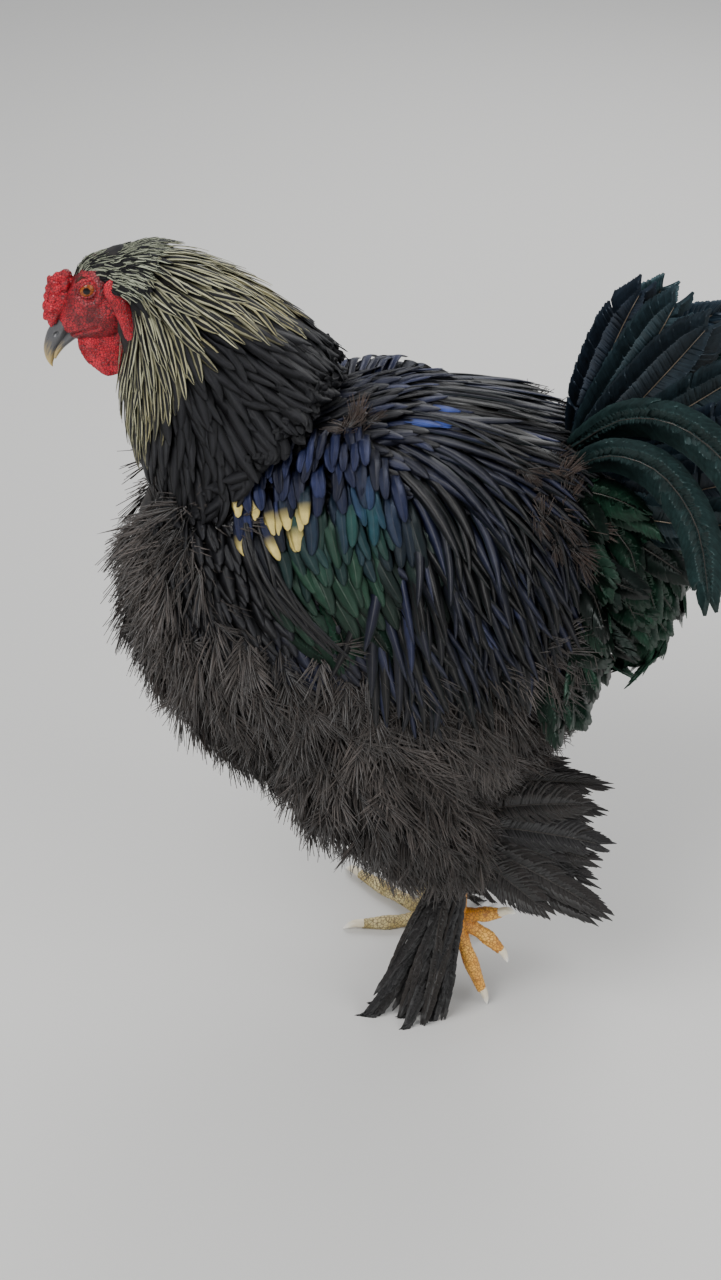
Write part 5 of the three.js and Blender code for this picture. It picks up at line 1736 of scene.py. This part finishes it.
# Dark tufts: over each ear, and short feathers between the lobe and the hackle
earTuft = {"count": 60, "length": 11, "wide": 1.8}


def makeEarTufts():
    draw = np.random.default_rng(74)
    count = earTuft["count"] * 2
    side = np.repeat([1.0, -1.0], earTuft["count"])
    forward, up = draw.uniform(-19, -9, count), draw.uniform(3, 14, count)
    t = np.linspace(0, 1, 6)
    length = earTuft["length"] * draw.uniform(0.6, 1.2, count)
    f = forward[:, None] - length[:, None] * t * 0.75
    rise = up[:, None] - length[:, None] * t * draw.uniform(0.1, 0.8, count)[:, None]
    left = side[:, None] * (17.2 + 2.5 * np.sin(t * 2.4) + draw.uniform(-1, 1.4, count)[:, None])
    lines = headPoint(f, rise, left)
    outward = unit(headPoint(0, 0, side * 10) - headPoint(0, 0, side * 0))
    normals = np.broadcast_to(outward[:, None], lines.shape)
    tint = varied(each(black, count), 0.3, draw)
    roots = np.stack([0.05 + 0 * up, 0.4 + 0.01 * side + up * 0.002], -1)
    return blades("ear_tufts", lines, normals, earTuft["wide"], [0.6, 1.0, 0.9, 0.6], roots, tint, tint * 2.0,
                  columns=3, camber=0.2, thick=0.25, twist=draw.normal(0, 20, count), blunt=0.5)


finishPiece(makeEarTufts(), capeFinish)
print("stage: crown")


# Skin under the coat: one closed surface through neck, body, tail root and thighs, inside the coat's depth

skin = {
    "depth": 11, "voxel": 4.5, "soften": 6, "rings": 40,
    "skull": [(-30, 18, -18, 14), (-18, 21, -21, 16), (-4, 20, -20, 15), (6, 15, -15, 11)],
}


def underCoat(form, ends=(0.0, 1.0)):
    rings = skin["rings"]
    u, v = np.meshgrid(np.linspace(*ends, rings), angles(rings), indexing="ij")
    return form.at(u, v, -skin["depth"]).reshape(-1, 3), ringFaces(rings, rings), np.zeros((rings * rings, 2))


def makeSkin():
    parts = [underCoat(torsoForm, (0.05, 0.97)), underCoat(neckForm), underCoat(tailForm, (0.0, 0.85))]
    parts += [underCoat(thighForm(leg), (0.0, 0.92)) for leg in legs.values()]
    parts.append(headLoft(skin["skull"], 24, 32))
    return fused(joined("body_skin", parts), skin["voxel"], skin["soften"])


def makeSkinFinish():
    made, tree, shader = newMaterial("coveredSkinPaintedShade")
    cloud = noiseIn(tree, objectPlace(tree), 90, 6)
    # Dark like the coat over it, and darker still as painted shade: seen through gaps in the coat, it stands
    # in for the shade between feathers.
    colour = mixColour(tree, ramp(tree, cloud, 0.35, 0.65), black * 0.8, brownBlack * 0.8)
    tree.links.new(colour, shader.inputs["Base Color"])
    setShader(shader, {"Roughness": 0.85})
    return made


finishPiece(makeSkin(), makeSkinFinish(), ["torso"])
print("stage: skin")


# Stage: a plain pale floor and soft studio light

stage = {
    "floor": (0.62, 0.61, 0.59), "edge": 40000, "sky": (0.86, 0.89, 0.93), "skyStrength": 0.55,
    "aim": (0, midline, 250),
    "lamps": [
        {"name": "key", "place": (-700, -1300, 1700), "size": 1200, "power": 42},
        {"name": "fill", "place": (1300, -900, 1100), "size": 1400, "power": 16},
        {"name": "rim", "place": (200, 1500, 1500), "size": 1300, "power": 26},
    ],
}


def makeStage():
    corners = np.array([(-1, -1, 0), (1, -1, 0), (1, 1, 0), (-1, 1, 0)]) * stage["edge"]
    floor = newObject("floor", corners, [[0, 1, 2, 3]], False)
    made, tree, shader = newMaterial("paleFloor")
    shader.inputs["Base Color"].default_value = (*stage["floor"], 1)
    shader.inputs["Roughness"].default_value = 0.9
    floor.data.materials.append(made)
    world = bpy.data.worlds.new("softSky")
    world.use_nodes = True
    sky = world.node_tree.nodes["Background"]
    sky.inputs["Color"].default_value = (*stage["sky"], 1)
    sky.inputs["Strength"].default_value = stage["skyStrength"]
    bpy.context.scene.world = world
    for lamp in stage["lamps"]:
        data = bpy.data.lights.new(lamp["name"], "AREA")
        data.size = lamp["size"] * metre
        data.energy = lamp["power"]
        obj = bpy.data.objects.new(lamp["name"], data)
        bpy.context.scene.collection.objects.link(obj)
        obj.location = Vector(lamp["place"]) * metre
        aim = Vector(stage["aim"]) * metre - obj.location
        obj.rotation_euler = aim.to_track_quat("-Z", "Y").to_euler()


makeStage()
print("stage: floor and light")
